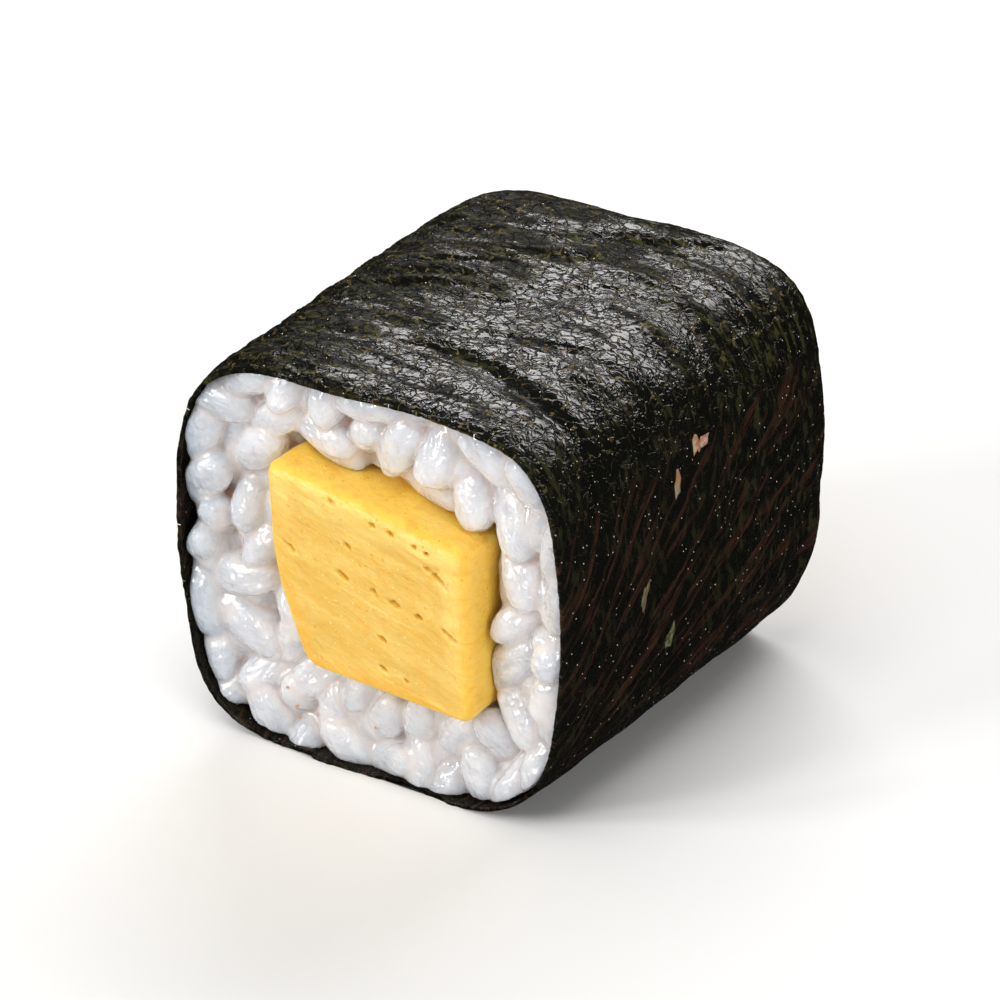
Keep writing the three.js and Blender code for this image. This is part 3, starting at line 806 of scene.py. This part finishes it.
rice = {
    "length": 5.4,
    "grainWidth": 2.7,
    "thickness": 2.5,
    "unevenness": 0.1,
    "tip": (0.1, 0.9),  # how far a grain's end dips into the face, in radians
    "spread": {"passes": 25, "push": 0.25, "room": 0.46, "nearest": 0.2, "furthest": 0.93},
    "dish": {"atSheet": 0.2, "atOmelette": 1.3, "coreDepth": 1.5},
    "wall": 0.4,  # the sheet's wall and the gap inside it, that the rows are spaced by
    "gap": 0.3,
    "rows": [  # share of the way from omelette to sheet, arc, lean of each grain, in degrees
        (0.86, (-24, 23), [100, 69, 66, 64]),
        (0.8, (31, 60), [91, 88]),
        (0.92, (84, 104), [91]),
        (0.86, (106, 211), [147, 130, 76, 29, 102, 64, 72, 68, 84]),
        (0.9, (211, 286), [64, 173, 65, 177, 27, 63, 103]),
        (0.93, (288, 335), [167, 120, 172, 102, 107, 127]),
        (0.2, (-48, -6), [168, 68]),
        (0.34, (0, 57), [46, 92, 81, 61]),
        (0.48, (57, 89), [10, 159]),
        (0.43, (90, 195), [137, 51, 89, 73, 98, 55]),
        (0.36, (196, 264), [79, 17, 165, 168]),
        (0.68, (200, 242), [165, 114, 172, 69]),
        (0.52, (268, 315), [140, 156, 123, 161]),
    ],
    "blunt": 2.4,  # exponent of a grain's shape: 2 is an ellipsoid
    "plump": 1.06,  # soft grains press into each other, so each is larger than its room
    "slimmer": 0.1,  # one end is slimmer, as at the germ
    "bend": 0.07,
    "lumps": 0.34,
    "subdivisions": 4,  # of the ball that each grain is shaped from
    "under": {
        "rows": [(0.92, 26), (0.55, 22), (0.18, 15)],  # share of the way, and how many grains
        "deeper": 0.85,
        "size": 0.98,
        "uneven": {  # how far the draws go for place, tip, size and depth
            "along": (0.2, 0.8),
            "share": 0.06,
            "tip": 0.6,
            "size": (0.92, 1.08),
            "deeper": (0.6, 1.2),
        },
    },
    "core": {
        "around": 220,
        "across": (0.01, 0.99, 22),
        "deeper": 0.5,
        "bump": 0.8,
        "bumpPitch": 2.6,
        "thick": 3,
        "middle": (-12, 12),  # ends of the piece between the two heaps
    },
    "room": {"sheet": 0.06, "folds": 0.35, "floor": 0.04, "omelette": 0.03},  # kept free round the heap
    "fuse": {"voxel": 0.17, "soften": 3},  # the sticky grains grow together
    "crease": (0.02, 0.3),  # from the bottom of a crease between grains to its edge
    "deep": (0.4, 2.6),  # below the face
    "dents": {"height": 0.16, "pitch": 1.1, "stretch": 0.5},
}

grainStep = 7.3  # from one grain's noise to the next one's
innerTable = reachTable(*omeletteOutline(rice["gap"]))
outerTable = reachTable(sectionX, sectionZ)
eggTable = reachTable(*omeletteOutline(rice["room"]["omelette"]))


def seededDraws(seed):  # numbers from 0 to 1, always the same, in 32-bit whole numbers
    state = seed
    whole = 0xFFFFFFFF
    while True:
        state = (state + 0x6D2B79F5) & whole
        mixed = (state ^ (state >> 15)) * (1 | state) & whole
        mixed = ((mixed + ((mixed ^ (mixed >> 7)) * (61 | mixed) & whole)) & whole) ^ mixed
        yield (mixed ^ (mixed >> 14)) / 4294967296


def ringAt(angle):
    return reachAt(innerTable, angle), reachAt(outerTable, angle) - rice["wall"] - rice["gap"]


def facePlace(angle, share):
    inner, outer = ringAt(angle)
    reach = inner + (outer - inner) * share
    return np.array([reach * np.cos(angle), reach * np.sin(angle)])


def shareOf(x, z):
    inner, outer = ringAt(np.arctan2(z, x))
    return (np.hypot(x, z) - inner) / (outer - inner)


def dishAt(share):
    dish = rice["dish"]
    return dish["atOmelette"] + (dish["atSheet"] - dish["atOmelette"]) * np.clip(share, 0, 1) ** 0.8


def rowPlaces(share, arc, parts):  # places at parts of the length of a row along its arc
    angle = np.radians(np.linspace(*arc, 201))
    x, z = facePlace(angle, share)
    run = np.concatenate(([0], np.cumsum(np.hypot(np.diff(x), np.diff(z)))))
    return np.interp(np.asarray(parts) * run[-1], run, angle)


def grainRow(share, arc, leans, draws):
    grains = []
    for lean in leans:
        side = -1 if next(draws) < 0.5 else 1
        least, most = rice["tip"]
        tip = side * (least + (most - least) * next(draws) ** 2)
        size = 1 + rice["unevenness"] * (2 * next(draws) - 1)
        turn = math.radians(lean)
        shown = rice["length"] * math.cos(tip)
        room = max(shown * abs(math.sin(turn)), rice["grainWidth"]) * size
        spread = rice["spread"]["room"] * math.sqrt(shown * rice["grainWidth"]) * size
        grains.append({"turn": turn, "tip": tip, "size": size, "room": room, "spread": spread})
    rooms = np.array([grain["room"] for grain in grains])
    middles = (np.cumsum(rooms) - rooms / 2) / rooms.sum()
    for grain, angle in zip(grains, rowPlaces(share, arc, middles)):
        grain["place"] = facePlace(angle, share)
        grain["heading"] = angle + grain["turn"]
    return grains


def spreadGrains(grains):  # crowded grains move apart, and back into the ring
    spread = rice["spread"]
    for _ in range(spread["passes"]):
        for one, other in itertools.combinations(grains, 2):
            away = other["place"] - one["place"]
            distance = np.linalg.norm(away)
            crowding = one["spread"] + other["spread"] - distance
            if crowding > 0:
                push = away / distance * crowding * spread["push"]
                one["place"] = one["place"] - push
                other["place"] = other["place"] + push
        for grain in grains:
            share = np.clip(shareOf(*grain["place"]), spread["nearest"], spread["furthest"])
            grain["place"] = facePlace(math.atan2(grain["place"][1], grain["place"][0]), share)


def grainPose(grain, facing, deeper):  # centre in millimetres, turning matrix and size
    heading, tip, size = grain["heading"], grain["tip"], grain["size"]
    flat = math.cos(tip)
    way = Vector((math.cos(heading) * flat, -facing * math.sin(tip), math.sin(heading) * flat))
    across = Vector((-math.sin(heading), 0, math.cos(heading)))
    turn = Matrix((across, way.cross(across), way)).transposed()
    stand = math.hypot(rice["length"] / 2 * math.sin(tip), rice["thickness"] / 2 * flat) * size
    x, z = grain["place"]
    y = facing * (roll["length"] / 2 - dishAt(shareOf(x, z)) - stand - deeper)
    return aboutAxis(x, y, z), turn, size


def underGrains(facing):  # a second layer, seen through the gaps of the first
    draws = np.random.default_rng(seeds["underGrains"] + facing)
    under = rice["under"]
    uneven = under["uneven"]
    grains = []
    for share, count in under["rows"]:
        parts = (np.arange(count) + draws.uniform(*uneven["along"], count)) / count
        for angle in rowPlaces(share, (0, 360), parts):
            grains.append({
                "place": facePlace(angle, share + draws.uniform(-uneven["share"], uneven["share"])),
                "heading": draws.uniform(0, math.pi),
                "tip": draws.uniform(-uneven["tip"], uneven["tip"]),
                "size": under["size"] * draws.uniform(*uneven["size"]),
            })
    return [grainPose(one, facing, under["deeper"] * draws.uniform(*uneven["deeper"])) for one in grains]


def allGrains():  # poses of the grains of each cut face
    draws = seededDraws(seeds["grains"])
    faces = {}
    for facing in (-1, 1):
        grains = []
        for share, arc, leans in rice["rows"]:
            grains += grainRow(share, arc, leans if facing < 0 else leans[::-1], draws)
        spreadGrains(grains)
        faces[facing] = [grainPose(grain, facing, 0) for grain in grains] + underGrains(facing)
    return faces


def grainTree():  # Geometry Nodes: one lumpy grain on every point, turned and sized by the point
    tree = bpy.data.node_groups.new("grainHeap", "GeometryNodeTree")
    sockets = dict.fromkeys(("Width", "Thickness", "Length", "Blunt", "Lumps"), "Float")
    sockets = {"Geometry": "Geometry", **sockets, "Rings": "Int", "Material": "Material"}
    for name, kind in sockets.items():
        tree.interface.new_socket(name, in_out="INPUT", socket_type="NodeSocket" + kind)
    tree.interface.new_socket("Geometry", in_out="OUTPUT", socket_type="NodeSocketGeometry")
    graph = Graph(tree)
    outputs = graph.node("NodeGroupInput").socket.node.outputs
    given = {socket.name: Wire(graph, socket) for socket in outputs}

    def stored(name, kind="FLOAT"):
        return graph.node("GeometryNodeInputNamedAttribute", {"data_type": kind}, {"Name": name})

    ball = graph.node("GeometryNodeMeshIcoSphere", None, {"Radius": 1.0, "Subdivisions": given["Rings"]})
    x, y, z = graph.parts(graph.node("GeometryNodeInputPosition"))
    blunt = given["Blunt"]
    norm = (abs(x) ** blunt + abs(y) ** blunt + abs(z) ** blunt) ** (1 / blunt)
    slim = (1 - rice["slimmer"] * z) / norm
    bend = rice["bend"] * (z * z)
    shape = graph.joined(
        (x * slim + bend) * given["Width"] / 2,
        y * slim * given["Thickness"] / 2,
        z / norm * given["Length"] / 2,
    )
    grain = graph.node("GeometryNodeSetPosition", None, {"Geometry": ball, "Position": shape})
    local = graph.vector("SCALE", graph.node("GeometryNodeInputPosition"), scale=1 / mm)
    marked = graph.node(
        "GeometryNodeStoreNamedAttribute",
        {"data_type": "FLOAT_VECTOR", "domain": "POINT"},
        {"Geometry": grain, "Name": "grainPlace", "Value": local},
    )
    points = graph.node("GeometryNodeMeshToPoints", None, {"Mesh": given["Geometry"]})
    turned = graph.node("FunctionNodeEulerToRotation", None, {"Euler": stored("turn", "FLOAT_VECTOR")})
    size = stored("size")
    heap = graph.node(
        "GeometryNodeInstanceOnPoints",
        None,
        {"Points": points, "Instance": marked, "Rotation": turned, "Scale": graph.joined(size, size, size)},
    )
    loose = graph.node("GeometryNodeRealizeInstances", None, {"Geometry": heap})
    noise = graph.node(
        "ShaderNodeTexNoise",
        {"noise_dimensions": "4D"},
        {
            "Vector": stored("grainPlace", "FLOAT_VECTOR"),
            "W": stored("number") * grainStep,
            "Scale": 0.5,
            "Detail": 2.0,
        },
    )
    lift = (noise - 0.5) * given["Lumps"]
    offset = graph.vector("SCALE", graph.node("GeometryNodeInputNormal"), scale=lift)
    lumpy = graph.node("GeometryNodeSetPosition", None, {"Geometry": loose, "Offset": offset})
    smooth = graph.node("GeometryNodeSetShadeSmooth", None, {"Geometry": lumpy})
    dressing = {"Geometry": smooth, "Material": given["Material"]}
    dressed = graph.node("GeometryNodeSetMaterial", None, dressing)
    graph.node("NodeGroupOutput", None, {"Geometry": dressed})
    return tree


def growGrains(name, poses, material, tree):  # a plain mesh of grains at those poses
    mesh = bpy.data.meshes.new(name)
    mesh.from_pydata((np.array([pose[0] for pose in poses]) * mm).tolist(), [], [])
    storeValues(mesh, {
        "turn": np.array([pose[1].to_euler() for pose in poses]),
        "size": np.array([pose[2] for pose in poses], np.float32) * rice["plump"],
        "number": np.arange(len(poses)),
    })
    heap = addObject(name, mesh)
    modifier = heap.modifiers.new("grains", "NODES")
    modifier.node_group = tree
    values = {
        "Width": rice["grainWidth"] * mm,
        "Thickness": rice["thickness"] * mm,
        "Length": rice["length"] * mm,
        "Blunt": rice["blunt"],
        "Lumps": rice["lumps"] * mm,
        "Rings": rice["subdivisions"],
        "Material": material,
    }
    for item in tree.interface.items_tree:
        if item.in_out == "INPUT" and item.name in values:
            modifier[item.identifier] = values[item.name]
    applyModifiers(heap)
    return heap


def meshPoints(piece):
    points = np.empty(len(piece.data.vertices) * 3, np.float32)
    piece.data.vertices.foreach_get("co", points)
    return points.reshape(-1, 3).astype(float) / mm


def keepInRoll(points):  # brings points inside the sheet and out of the omelette
    y = points[:, 1] - roll["shift"]
    swell = swellAt(y)
    x = points[:, 0] / swell
    z = (points[:, 2] + roll["flatDepth"]) / swell - roll["height"] / 2
    calm = np.clip((0.5 - np.abs(y) / roll["length"]) / sheet["rimCalm"], 0, 1)
    room = reachAt(outerTable, np.arctan2(z, x)) - sheet["wall"] - rice["room"]["sheet"]
    room = room - rice["room"]["folds"] * calm - rimDrop(np.maximum(0, roll["length"] / 2 - np.abs(y)))
    squeeze = np.minimum(1, room / np.hypot(x, z))
    x, z = x * squeeze * swell, (z * squeeze + roll["height"] / 2) * swell - roll["flatDepth"]
    z = np.maximum(z, sheet["wall"] + rice["room"]["floor"])
    angle = np.arctan2(z - roll["middle"], x)
    reach = np.hypot(x, z - roll["middle"])
    push = np.maximum(1, reachAt(eggTable, angle) / reach)
    return np.stack((x * push, points[:, 1], (z - roll["middle"]) * push + roll["middle"]), -1)


def setPoints(piece, points):
    piece.data.vertices.foreach_set("co", (points * mm).astype(np.float32).ravel())
    piece.data.update()


def coreBlock(name, sides, bumpy, material):  # a block of rice between two places along the roll
    core = rice["core"]
    angle = np.arange(core["around"]) / core["around"] * 2 * math.pi
    across = np.linspace(*core["across"])
    rings = []
    for side, shares in ((0, across), (1, across[::-1])):
        for share in shares:
            x, z = facePlace(angle, np.full_like(angle, share))
            y = np.full_like(angle, sides[side])
            if bumpy[side]:
                depth = dishAt(share) + rice["dish"]["coreDepth"] + core["deeper"]
                offset = cellNoise(np.stack((x, y, z), -1) / core["bumpPitch"], seeds["core"])[2]
                rise = core["bump"] * (1 - 2 * (offset ** 2).sum(-1))
                y = (-1, 1)[side] * (roll["length"] / 2 - depth + rise)
            rings.append(aboutAxis(x, y, z))
    points = keepInRoll(np.concatenate(rings))
    faces = ringFaces(len(rings), core["around"], True)
    return addMesh(name, points, [face[::-1] for face in faces], material)


def fuseHeap(name, parts, material):  # one skin over grains and core, with soft creases between them
    shape = bmesh.new()
    for part in parts:
        shape.from_mesh(part.data)
        bpy.data.objects.remove(part)
    mesh = bpy.data.meshes.new(name)
    shape.to_mesh(mesh)
    shape.free()
    heap = addObject(name, mesh)
    remesh = heap.modifiers.new("fuse", "REMESH")
    remesh.mode = "VOXEL"
    remesh.voxel_size = rice["fuse"]["voxel"] * mm
    soften = heap.modifiers.new("soften", "SMOOTH")
    soften.factor = 0.5
    soften.iterations = rice["fuse"]["soften"]
    fused = applyModifiers(heap)
    fused.materials.clear()
    fused.materials.append(material)
    fused.shade_smooth()
    return heap


def markGrains(piece, poses):  # for each point: its grain, the place in it, and how near the next is
    points = meshPoints(piece)
    half = np.array([rice["grainWidth"], rice["thickness"], rice["length"]]) / 2 * rice["plump"]
    nearest = np.full(len(points), 9.0)
    second = nearest.copy()
    number = np.zeros(len(points))
    local = np.zeros_like(points)
    for k, (centre, turn, size) in enumerate(poses):
        near = np.where(np.abs(points - centre).max(1) < 0.8 * rice["length"])[0]
        place = (points[near] - centre) @ np.array(turn)
        depth = (np.abs(place / (half * size)) ** rice["blunt"]).sum(-1) ** (1 / rice["blunt"])
        closer = depth < nearest[near]
        second[near] = np.where(closer, nearest[near], np.minimum(second[near], depth))
        rows = near[closer]
        nearest[rows] = depth[closer]
        number[rows] = k
        local[rows] = place[closer]
    crease = 1 - smoothStep(*rice["crease"], second - nearest)
    y = np.abs(points[:, 1] - roll["shift"])
    share = shareOf(points[:, 0], points[:, 2] - roll["middle"])
    deep = smoothStep(*rice["deep"], roll["length"] / 2 - dishAt(share) - y)
    values = {"number": number, "crease": crease, "deep": deep, "share": share, "grainPlace": local}
    storeValues(piece.data, values)


def dentGrains(piece):  # shallow dents and ridges along each grain
    mesh = piece.data
    values = {}
    for key, width in (("grainPlace", 3), ("number", 1), ("crease", 1)):
        flat = np.empty(len(mesh.vertices) * width, np.float32)
        mesh.attributes[key].data.foreach_get("vector" if width == 3 else "value", flat)
        values[key] = flat.reshape(-1, width).astype(float)
    dents = rice["dents"]
    stretch = np.array([1, 1, dents["stretch"]])
    places = (values["grainPlace"] * stretch + values["number"] * grainStep) / dents["pitch"]
    relief = latticeNoise(places, seeds["dents"]) + 0.4 * latticeNoise(places * 2.1, seeds["dents"] + 1)
    relief = relief * (1 - 0.8 * values["crease"][:, 0]) * dents["height"]
    normals = np.empty(len(mesh.vertices) * 3, np.float32)
    mesh.vertices.foreach_get("normal", normals)
    setPoints(piece, keepInRoll(meshPoints(piece) + normals.reshape(-1, 3) * relief[:, None]))


def makeHeap(name, facing, poses, tree, material):
    grains = growGrains(name + "Grains", poses, material, tree)
    setPoints(grains, keepInRoll(meshPoints(grains)))
    half = roll["length"] / 2
    outside = half - rice["dish"]["coreDepth"]
    inside = half - rice["dish"]["coreDepth"] - rice["dish"]["atOmelette"] - rice["core"]["thick"]
    sides = (-outside, -inside) if facing < 0 else (inside, outside)
    backing = coreBlock(name + "Backing", sides, (facing < 0, facing > 0), material)
    heap = fuseHeap(name, [grains, backing], material)
    setPoints(heap, keepInRoll(meshPoints(heap)))
    markGrains(heap, poses)
    dentGrains(heap)
    return heap


riceLook = {
    "grain": colour(0.64, 0.645, 0.68),
    "milky": colour(0.73, 0.725, 0.745),
    # painted light: a warm glow for light that shines through the grains and bounces off the omelette
    "warmGlow": colour(0.86, 0.73, 0.64),
    # painted shade: a bluish grey for rice that turns from the light
    "bluishShade": colour(0.42, 0.47, 0.54),
    "satin": 0.3,
    "relief": 0.3,
    "facets": 1.9,  # wet crinkles in a millimetre
}


def riceMaterial():
    material, graph = newMaterial("riceSkin")
    x, y, z = graph.parts(graph.given("grainPlace", "Vector"))
    names = ("number", "crease", "deep", "share")
    number, crease, deep, share = (graph.given(name) for name in names)
    across = graph.parts(graph.objectPlace())[0]
    along = graph.joined(x + number * 11.7, y, z * 0.42)
    place = graph.joined(x + number * 7.1, y, z * 0.75)
    jog = graph.noise(place, 1.6, 2, output="Color")
    crumpled = graph.vector("ADD", place, graph.vector("SCALE", jog, scale=0.7))
    facets = graph.cells(crumpled, riceLook["facets"])["Distance"]
    ridges = graph.noise(along, 1.2, 2, 0.6)
    wet = graph.noise(place, 0.75, 2).between(0.36, 0.5)
    cloud = graph.noise(place, 0.7, 1)
    # painted light: a warm glow in the creases, deep in the dish and near the omelette
    warmGlowShare = crease * 0.3 + deep * 0.6 + (1 - share.between(0, 0.45)) * 0.08
    base = graph.laidOver(riceLook["grain"], [
        (cloud.between(0.4, 0.7), riceLook["milky"]),
        ((1 - (across + 16).between(0, 9)) * 0.6, riceLook["bluishShade"]),  # painted shade, as the left side turns from the light
        # painted shade towards the sheet
        (share.between(0.6, 1.05) * 0.3, riceLook["bluishShade"]),
        (warmGlowShare, riceLook["warmGlow"]),
    ])
    height = ridges.between(0.3, 0.7) * 0.2 + facets * (0.1 + 0.55 * wet)
    sockets = {
        "Base Color": base,
        "Roughness": riceLook["satin"] - wet * 0.22,
        "Specular IOR Level": 0.8,
        "Coat Weight": 0.1 + wet * 0.6,
        "Coat Roughness": 0.05,
        "Subsurface Weight": 1.0,
        "Subsurface Radius": (1.0, 0.9, 0.85),
        "Subsurface Scale": 2.6 * mm,
    }
    finishMaterial(graph, height * (1 - crease), riceLook["relief"], sockets)
    return material


# what sticks to the nori and the rice

crumbs = {
    "flakes": [  # y, height from the axis, lean, length, breadth in mm, and share of cream in the colour
        (0.1, 7.5, 1.2, 1.2, 0.8, 0.9),
        (1.0, 7.5, 0.5, 1.1, 0.75, 1),
        (-2.4, 5.9, 1.25, 1.7, 0.75, 0.6),
        (-6.8, -0.1, 1.2, 1.9, 0.85, 0.15),
        (-3.9, -4.2, 1.1, 2, 0.9, 0),
    ],
    "flakeCorners": 11,
    "flakeWall": 0.06,
    "flakeRise": (0.04, 0.09),  # how far the edge stands off the sheet
    "flakeCream": (colour(0.50, 0.38, 0.29), colour(0.42, 0.17, 0.07)),
    "flakeGreen": (colour(0.05, 0.052, 0.02), colour(0.17, 0.165, 0.09)),
    "specks": [  # x, height from the axis, size
        (-6.8, -9.5, 0.3),
        (-6.2, -11.1, 0.4),
        (-6.5, -12.2, 0.32),
        (-4.5, -11.1, 0.36),
        (0.1, -10.8, 0.3),
    ],
    "speckShape": (1, 0.35, 0.8),  # flattened towards the face
    "speckUneven": 0.25,
    "speckReach": 0.15,  # how near a speck's place the rice under it is looked for
    "speckBrown": (colour(0.66, 0.40, 0.28), colour(0.52, 0.26, 0.15)),
}


def makeFlakes(material):  # thin chips of skin stuck on the right side of the sheet
    draws = np.random.default_rng(seeds["flakes"])
    right = slice(roll["halfSteps"] + 1)  # the steps up the right side
    count = crumbs["flakeCorners"]
    turn = np.arange(count) / count * 2 * math.pi
    least, most = crumbs["flakeRise"]
    points, faces, tints = [], [], []
    for y, height, lean, length, breadth, tint in crumbs["flakes"]:
        u = np.interp(height, sectionZ[right], sectionRun[right]) / girth
        reach = 0.5 * (1 + 0.4 * draws.uniform(-1, 1, count))
        along, across = np.cos(turn) * reach * length, np.sin(turn) * reach * breadth
        overY = along * math.cos(lean) - across * math.sin(lean)
        overU = (along * math.sin(lean) + across * math.cos(lean)) / girth
        rise = least + (most - least) * draws.uniform(0, 1, count)
        under = rise - crumbs["flakeWall"]
        layers = []
        for share, lift in ((0, 0.12), (0.55, 0.1), (1, rise), (0.97, under), (0, -0.05)):
            placeY, placeU = y + overY * share, u + overU * share
            skin = sheetSkin(placeU, placeY, roll["length"] / 2 - np.abs(placeY), True)
            out = rollPoints(placeU, placeY, -1) - rollPoints(placeU, placeY, 0)
            layers.append(skin + out * np.reshape(lift, (-1, 1)))
        faces += poledFaces(3, count, len(points))
        points += [layers[0].mean(0), *np.concatenate(layers[1:4]), layers[4].mean(0)]
        tints += [tint] * (count * 3 + 2)
    return addMesh("noriFlakes", points, faces, material, {"tint": tints})


def flakeMaterial():
    material, graph = newMaterial("dryFlake")
    mottle = graph.noise(graph.objectPlace(), 2.2, 3)
    spots = mottle.between(0.4, 0.6)
    green, cream = graph.mixed(spots, *crumbs["flakeGreen"]), graph.mixed(spots, *crumbs["flakeCream"])
    base = graph.mixed(graph.given("tint"), green, cream)
    finishMaterial(graph, mottle, 0.06, {"Base Color": base, "Roughness": 0.3 + mottle * 0.2})
    return material


def makeSpecks(material, heap):  # tiny brown specks lying on the rice of the front
    skin = meshPoints(heap)
    draws = np.random.default_rng(seeds["specks"])
    shape = bmesh.new()
    for x, height, size in crumbs["specks"]:
        away = np.hypot(skin[:, 0] - x, skin[:, 2] - roll["middle"] - height)
        near = away < crumbs["speckReach"]
        place = skin[near][skin[near][:, 1].argmin()]
        ball = bmesh.ops.create_icosphere(shape, subdivisions=2, radius=size / 2 * mm)
        for vertex in ball["verts"]:
            vertex.co *= 1 + crumbs["speckUneven"] * draws.uniform(-1, 1)
            vertex.co = vertex.co * Vector(crumbs["speckShape"]) + Vector(place) * mm
    mesh = bpy.data.meshes.new("riceSpecks")
    shape.to_mesh(mesh)
    shape.free()
    mesh.shade_smooth()
    mesh.materials.append(material)
    return addObject("riceSpecks", mesh)


def speckMaterial():
    material, graph = newMaterial("toastedSpeck")
    mottle = graph.noise(graph.objectPlace(), 6, 2)
    base = graph.mixed(mottle.between(0.4, 0.6), *crumbs["speckBrown"])
    finishMaterial(graph, mottle, 0.03, {"Base Color": base, "Roughness": 0.25 + mottle * 0.2})
    return material


# making the pieces

noriFilm = sheetMaterial()
nori = makeSheet(noriFilm)
print("nori made:", len(nori.data.vertices), "points")

rolledEgg = omeletteMaterial()
tamago = makeOmelette(rolledEgg)
print("omelette made:", len(tamago.data.vertices), "points")

riceSkin = riceMaterial()
faces = allGrains()
tree = grainTree()
riceFront = makeHeap("riceFront", -1, faces[-1], tree, riceSkin)
riceBack = makeHeap("riceBack", 1, faces[1], tree, riceSkin)
riceCore = coreBlock("riceCore", rice["core"]["middle"], (False, False), riceSkin)
markGrains(riceCore, faces[-1][:1])
print("rice made:", [len(piece.data.polygons) for piece in (riceFront, riceBack, riceCore)], "faces")

shown = [(nori, "nori"), (tamago, "tamago")]
shown += [(piece, "rice") for piece in (riceFront, riceBack, riceCore)]
for piece, node in shown:
    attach(piece, "root")
    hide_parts(node)

flakes = makeFlakes(flakeMaterial())
specks = makeSpecks(speckMaterial(), riceFront)
for piece, slotName in ((flakes, "nori"), (specks, "rice")):
    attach(piece, "root")
print("flakes and specks made")

# floor, light and camera

stageLook = {
    "floor": colour(0.86, 0.86, 0.855),
    "floorSpeckle": colour(0.8, 0.8, 0.8),
    "floorReach": 3000,
    "world": (colour(0.9, 0.95, 1), 0.02),
    "lights": [  # name, place, aim, size, power, colour, in millimetres and watts
        ("backSoftbox", (-103, 393, 323), (2, 2, 27), (577, 200), 2.45, (1, 0.985, 0.98)),
        ("rightGlint", (410, -190, 150), (0, -10, 14), (60, 60), 0.12, (1, 0.985, 0.96)),
        ("rightFill", (615, -285, 225), (0, -10, 14), (420, 390), 2, (1, 0.985, 0.96)),
        ("topFill", (0, -160, 450), (0, -8, 14), (300, 300), 1, (1, 0.99, 0.97)),
        ("frontFill", (100, -480, 220), (0, -10, 14), (500, 400), 0.4, (0.96, 0.98, 1)),
    ],
    "window": {  # two bright panes with a bar between them, mirrored in the wet rice
        "azimuths": (-42, -25),
        "elevation": 26,
        "distance": 480,
        "aim": (0, -10, 12),
        "size": (85, 125),
        "power": 0.72,
        "tint": (1, 0.99, 0.97),
    },
    "camera": {
        "azimuth": 33.17,
        "elevation": 27.09,
        "roll": 0.156,
        "lens": 166.15,
        "place": (151.0, -230.8, 154.94),
    },
}


def makeFloor():
    material, graph = newMaterial("paleFloor")
    place = graph.node("ShaderNodeTexCoord", None, None, "Object")
    speckle = graph.noise(place, 40, 2)
    share = speckle.between(0.3, 0.7) * 0.04
    base = graph.mixed(share, stageLook["floor"], stageLook["floorSpeckle"])
    finishMaterial(graph, speckle, 0.01, {"Base Color": base, "Roughness": 0.7})
    reach = stageLook["floorReach"]
    corners = [(-reach, -reach, 0), (reach, -reach, 0), (reach, reach, 0), (-reach, reach, 0)]
    floor = addMesh("floor", corners, [(0, 1, 2, 3)], material)
    floor.visible_glossy = False  # the wet sheet mirrors a dark room, not the floor


def wayTo(azimuth, elevation):  # degrees from straight ahead of the cut face, and above the floor
    turn, rise = math.radians(azimuth), math.radians(elevation)
    return Vector((math.sin(turn) * math.cos(rise), -math.cos(turn) * math.cos(rise), math.sin(rise)))


def addLight(name, place, aim, size, power, tint):
    light = bpy.data.lights.new(name, "AREA")
    light.shape = "RECTANGLE"
    light.size, light.size_y = size[0] * mm, size[1] * mm
    light.energy = power
    light.color = tint
    lamp = addObject(name, light)
    lamp.location = Vector(place) * mm
    lamp.rotation_euler = (Vector(aim) - Vector(place)).to_track_quat("-Z", "Y").to_euler()
    lamp.visible_camera = False
    lamp.visible_glossy = not name.endswith("Fill")  # these light the shade and show in no gloss


def addWindow():
    window = stageLook["window"]
    for i, azimuth in enumerate(window["azimuths"]):
        place = Vector(window["aim"]) + wayTo(azimuth, window["elevation"]) * window["distance"]
        name = "windowStrip" + str(i + 1)
        addLight(name, place, window["aim"], window["size"], window["power"], window["tint"])


def addCamera():
    shot = stageLook["camera"]
    camera = bpy.data.cameras.new("camera")
    camera.lens = shot["lens"]
    camera.sensor_width = 36
    camera.clip_start = 0.01
    holder = addObject("camera", camera)
    holder.location = Vector(shot["place"]) * mm
    back = wayTo(shot["azimuth"], shot["elevation"])
    aim = (-back).to_track_quat("-Z", "Y").to_matrix()
    holder.rotation_euler = (aim @ Matrix.Rotation(math.radians(shot["roll"]), 3, "Z")).to_euler()
    bpy.context.scene.camera = holder


makeFloor()
for light in stageLook["lights"]:
    addLight(*light)
addWindow()
world = bpy.data.worlds.new("room")
world.use_nodes = True
background = world.node_tree.nodes["Background"].inputs
background["Color"].default_value, background["Strength"].default_value = stageLook["world"]
bpy.context.scene.world = world
bpy.context.scene.view_settings.view_transform = "Standard"
addCamera()
print("stage set")
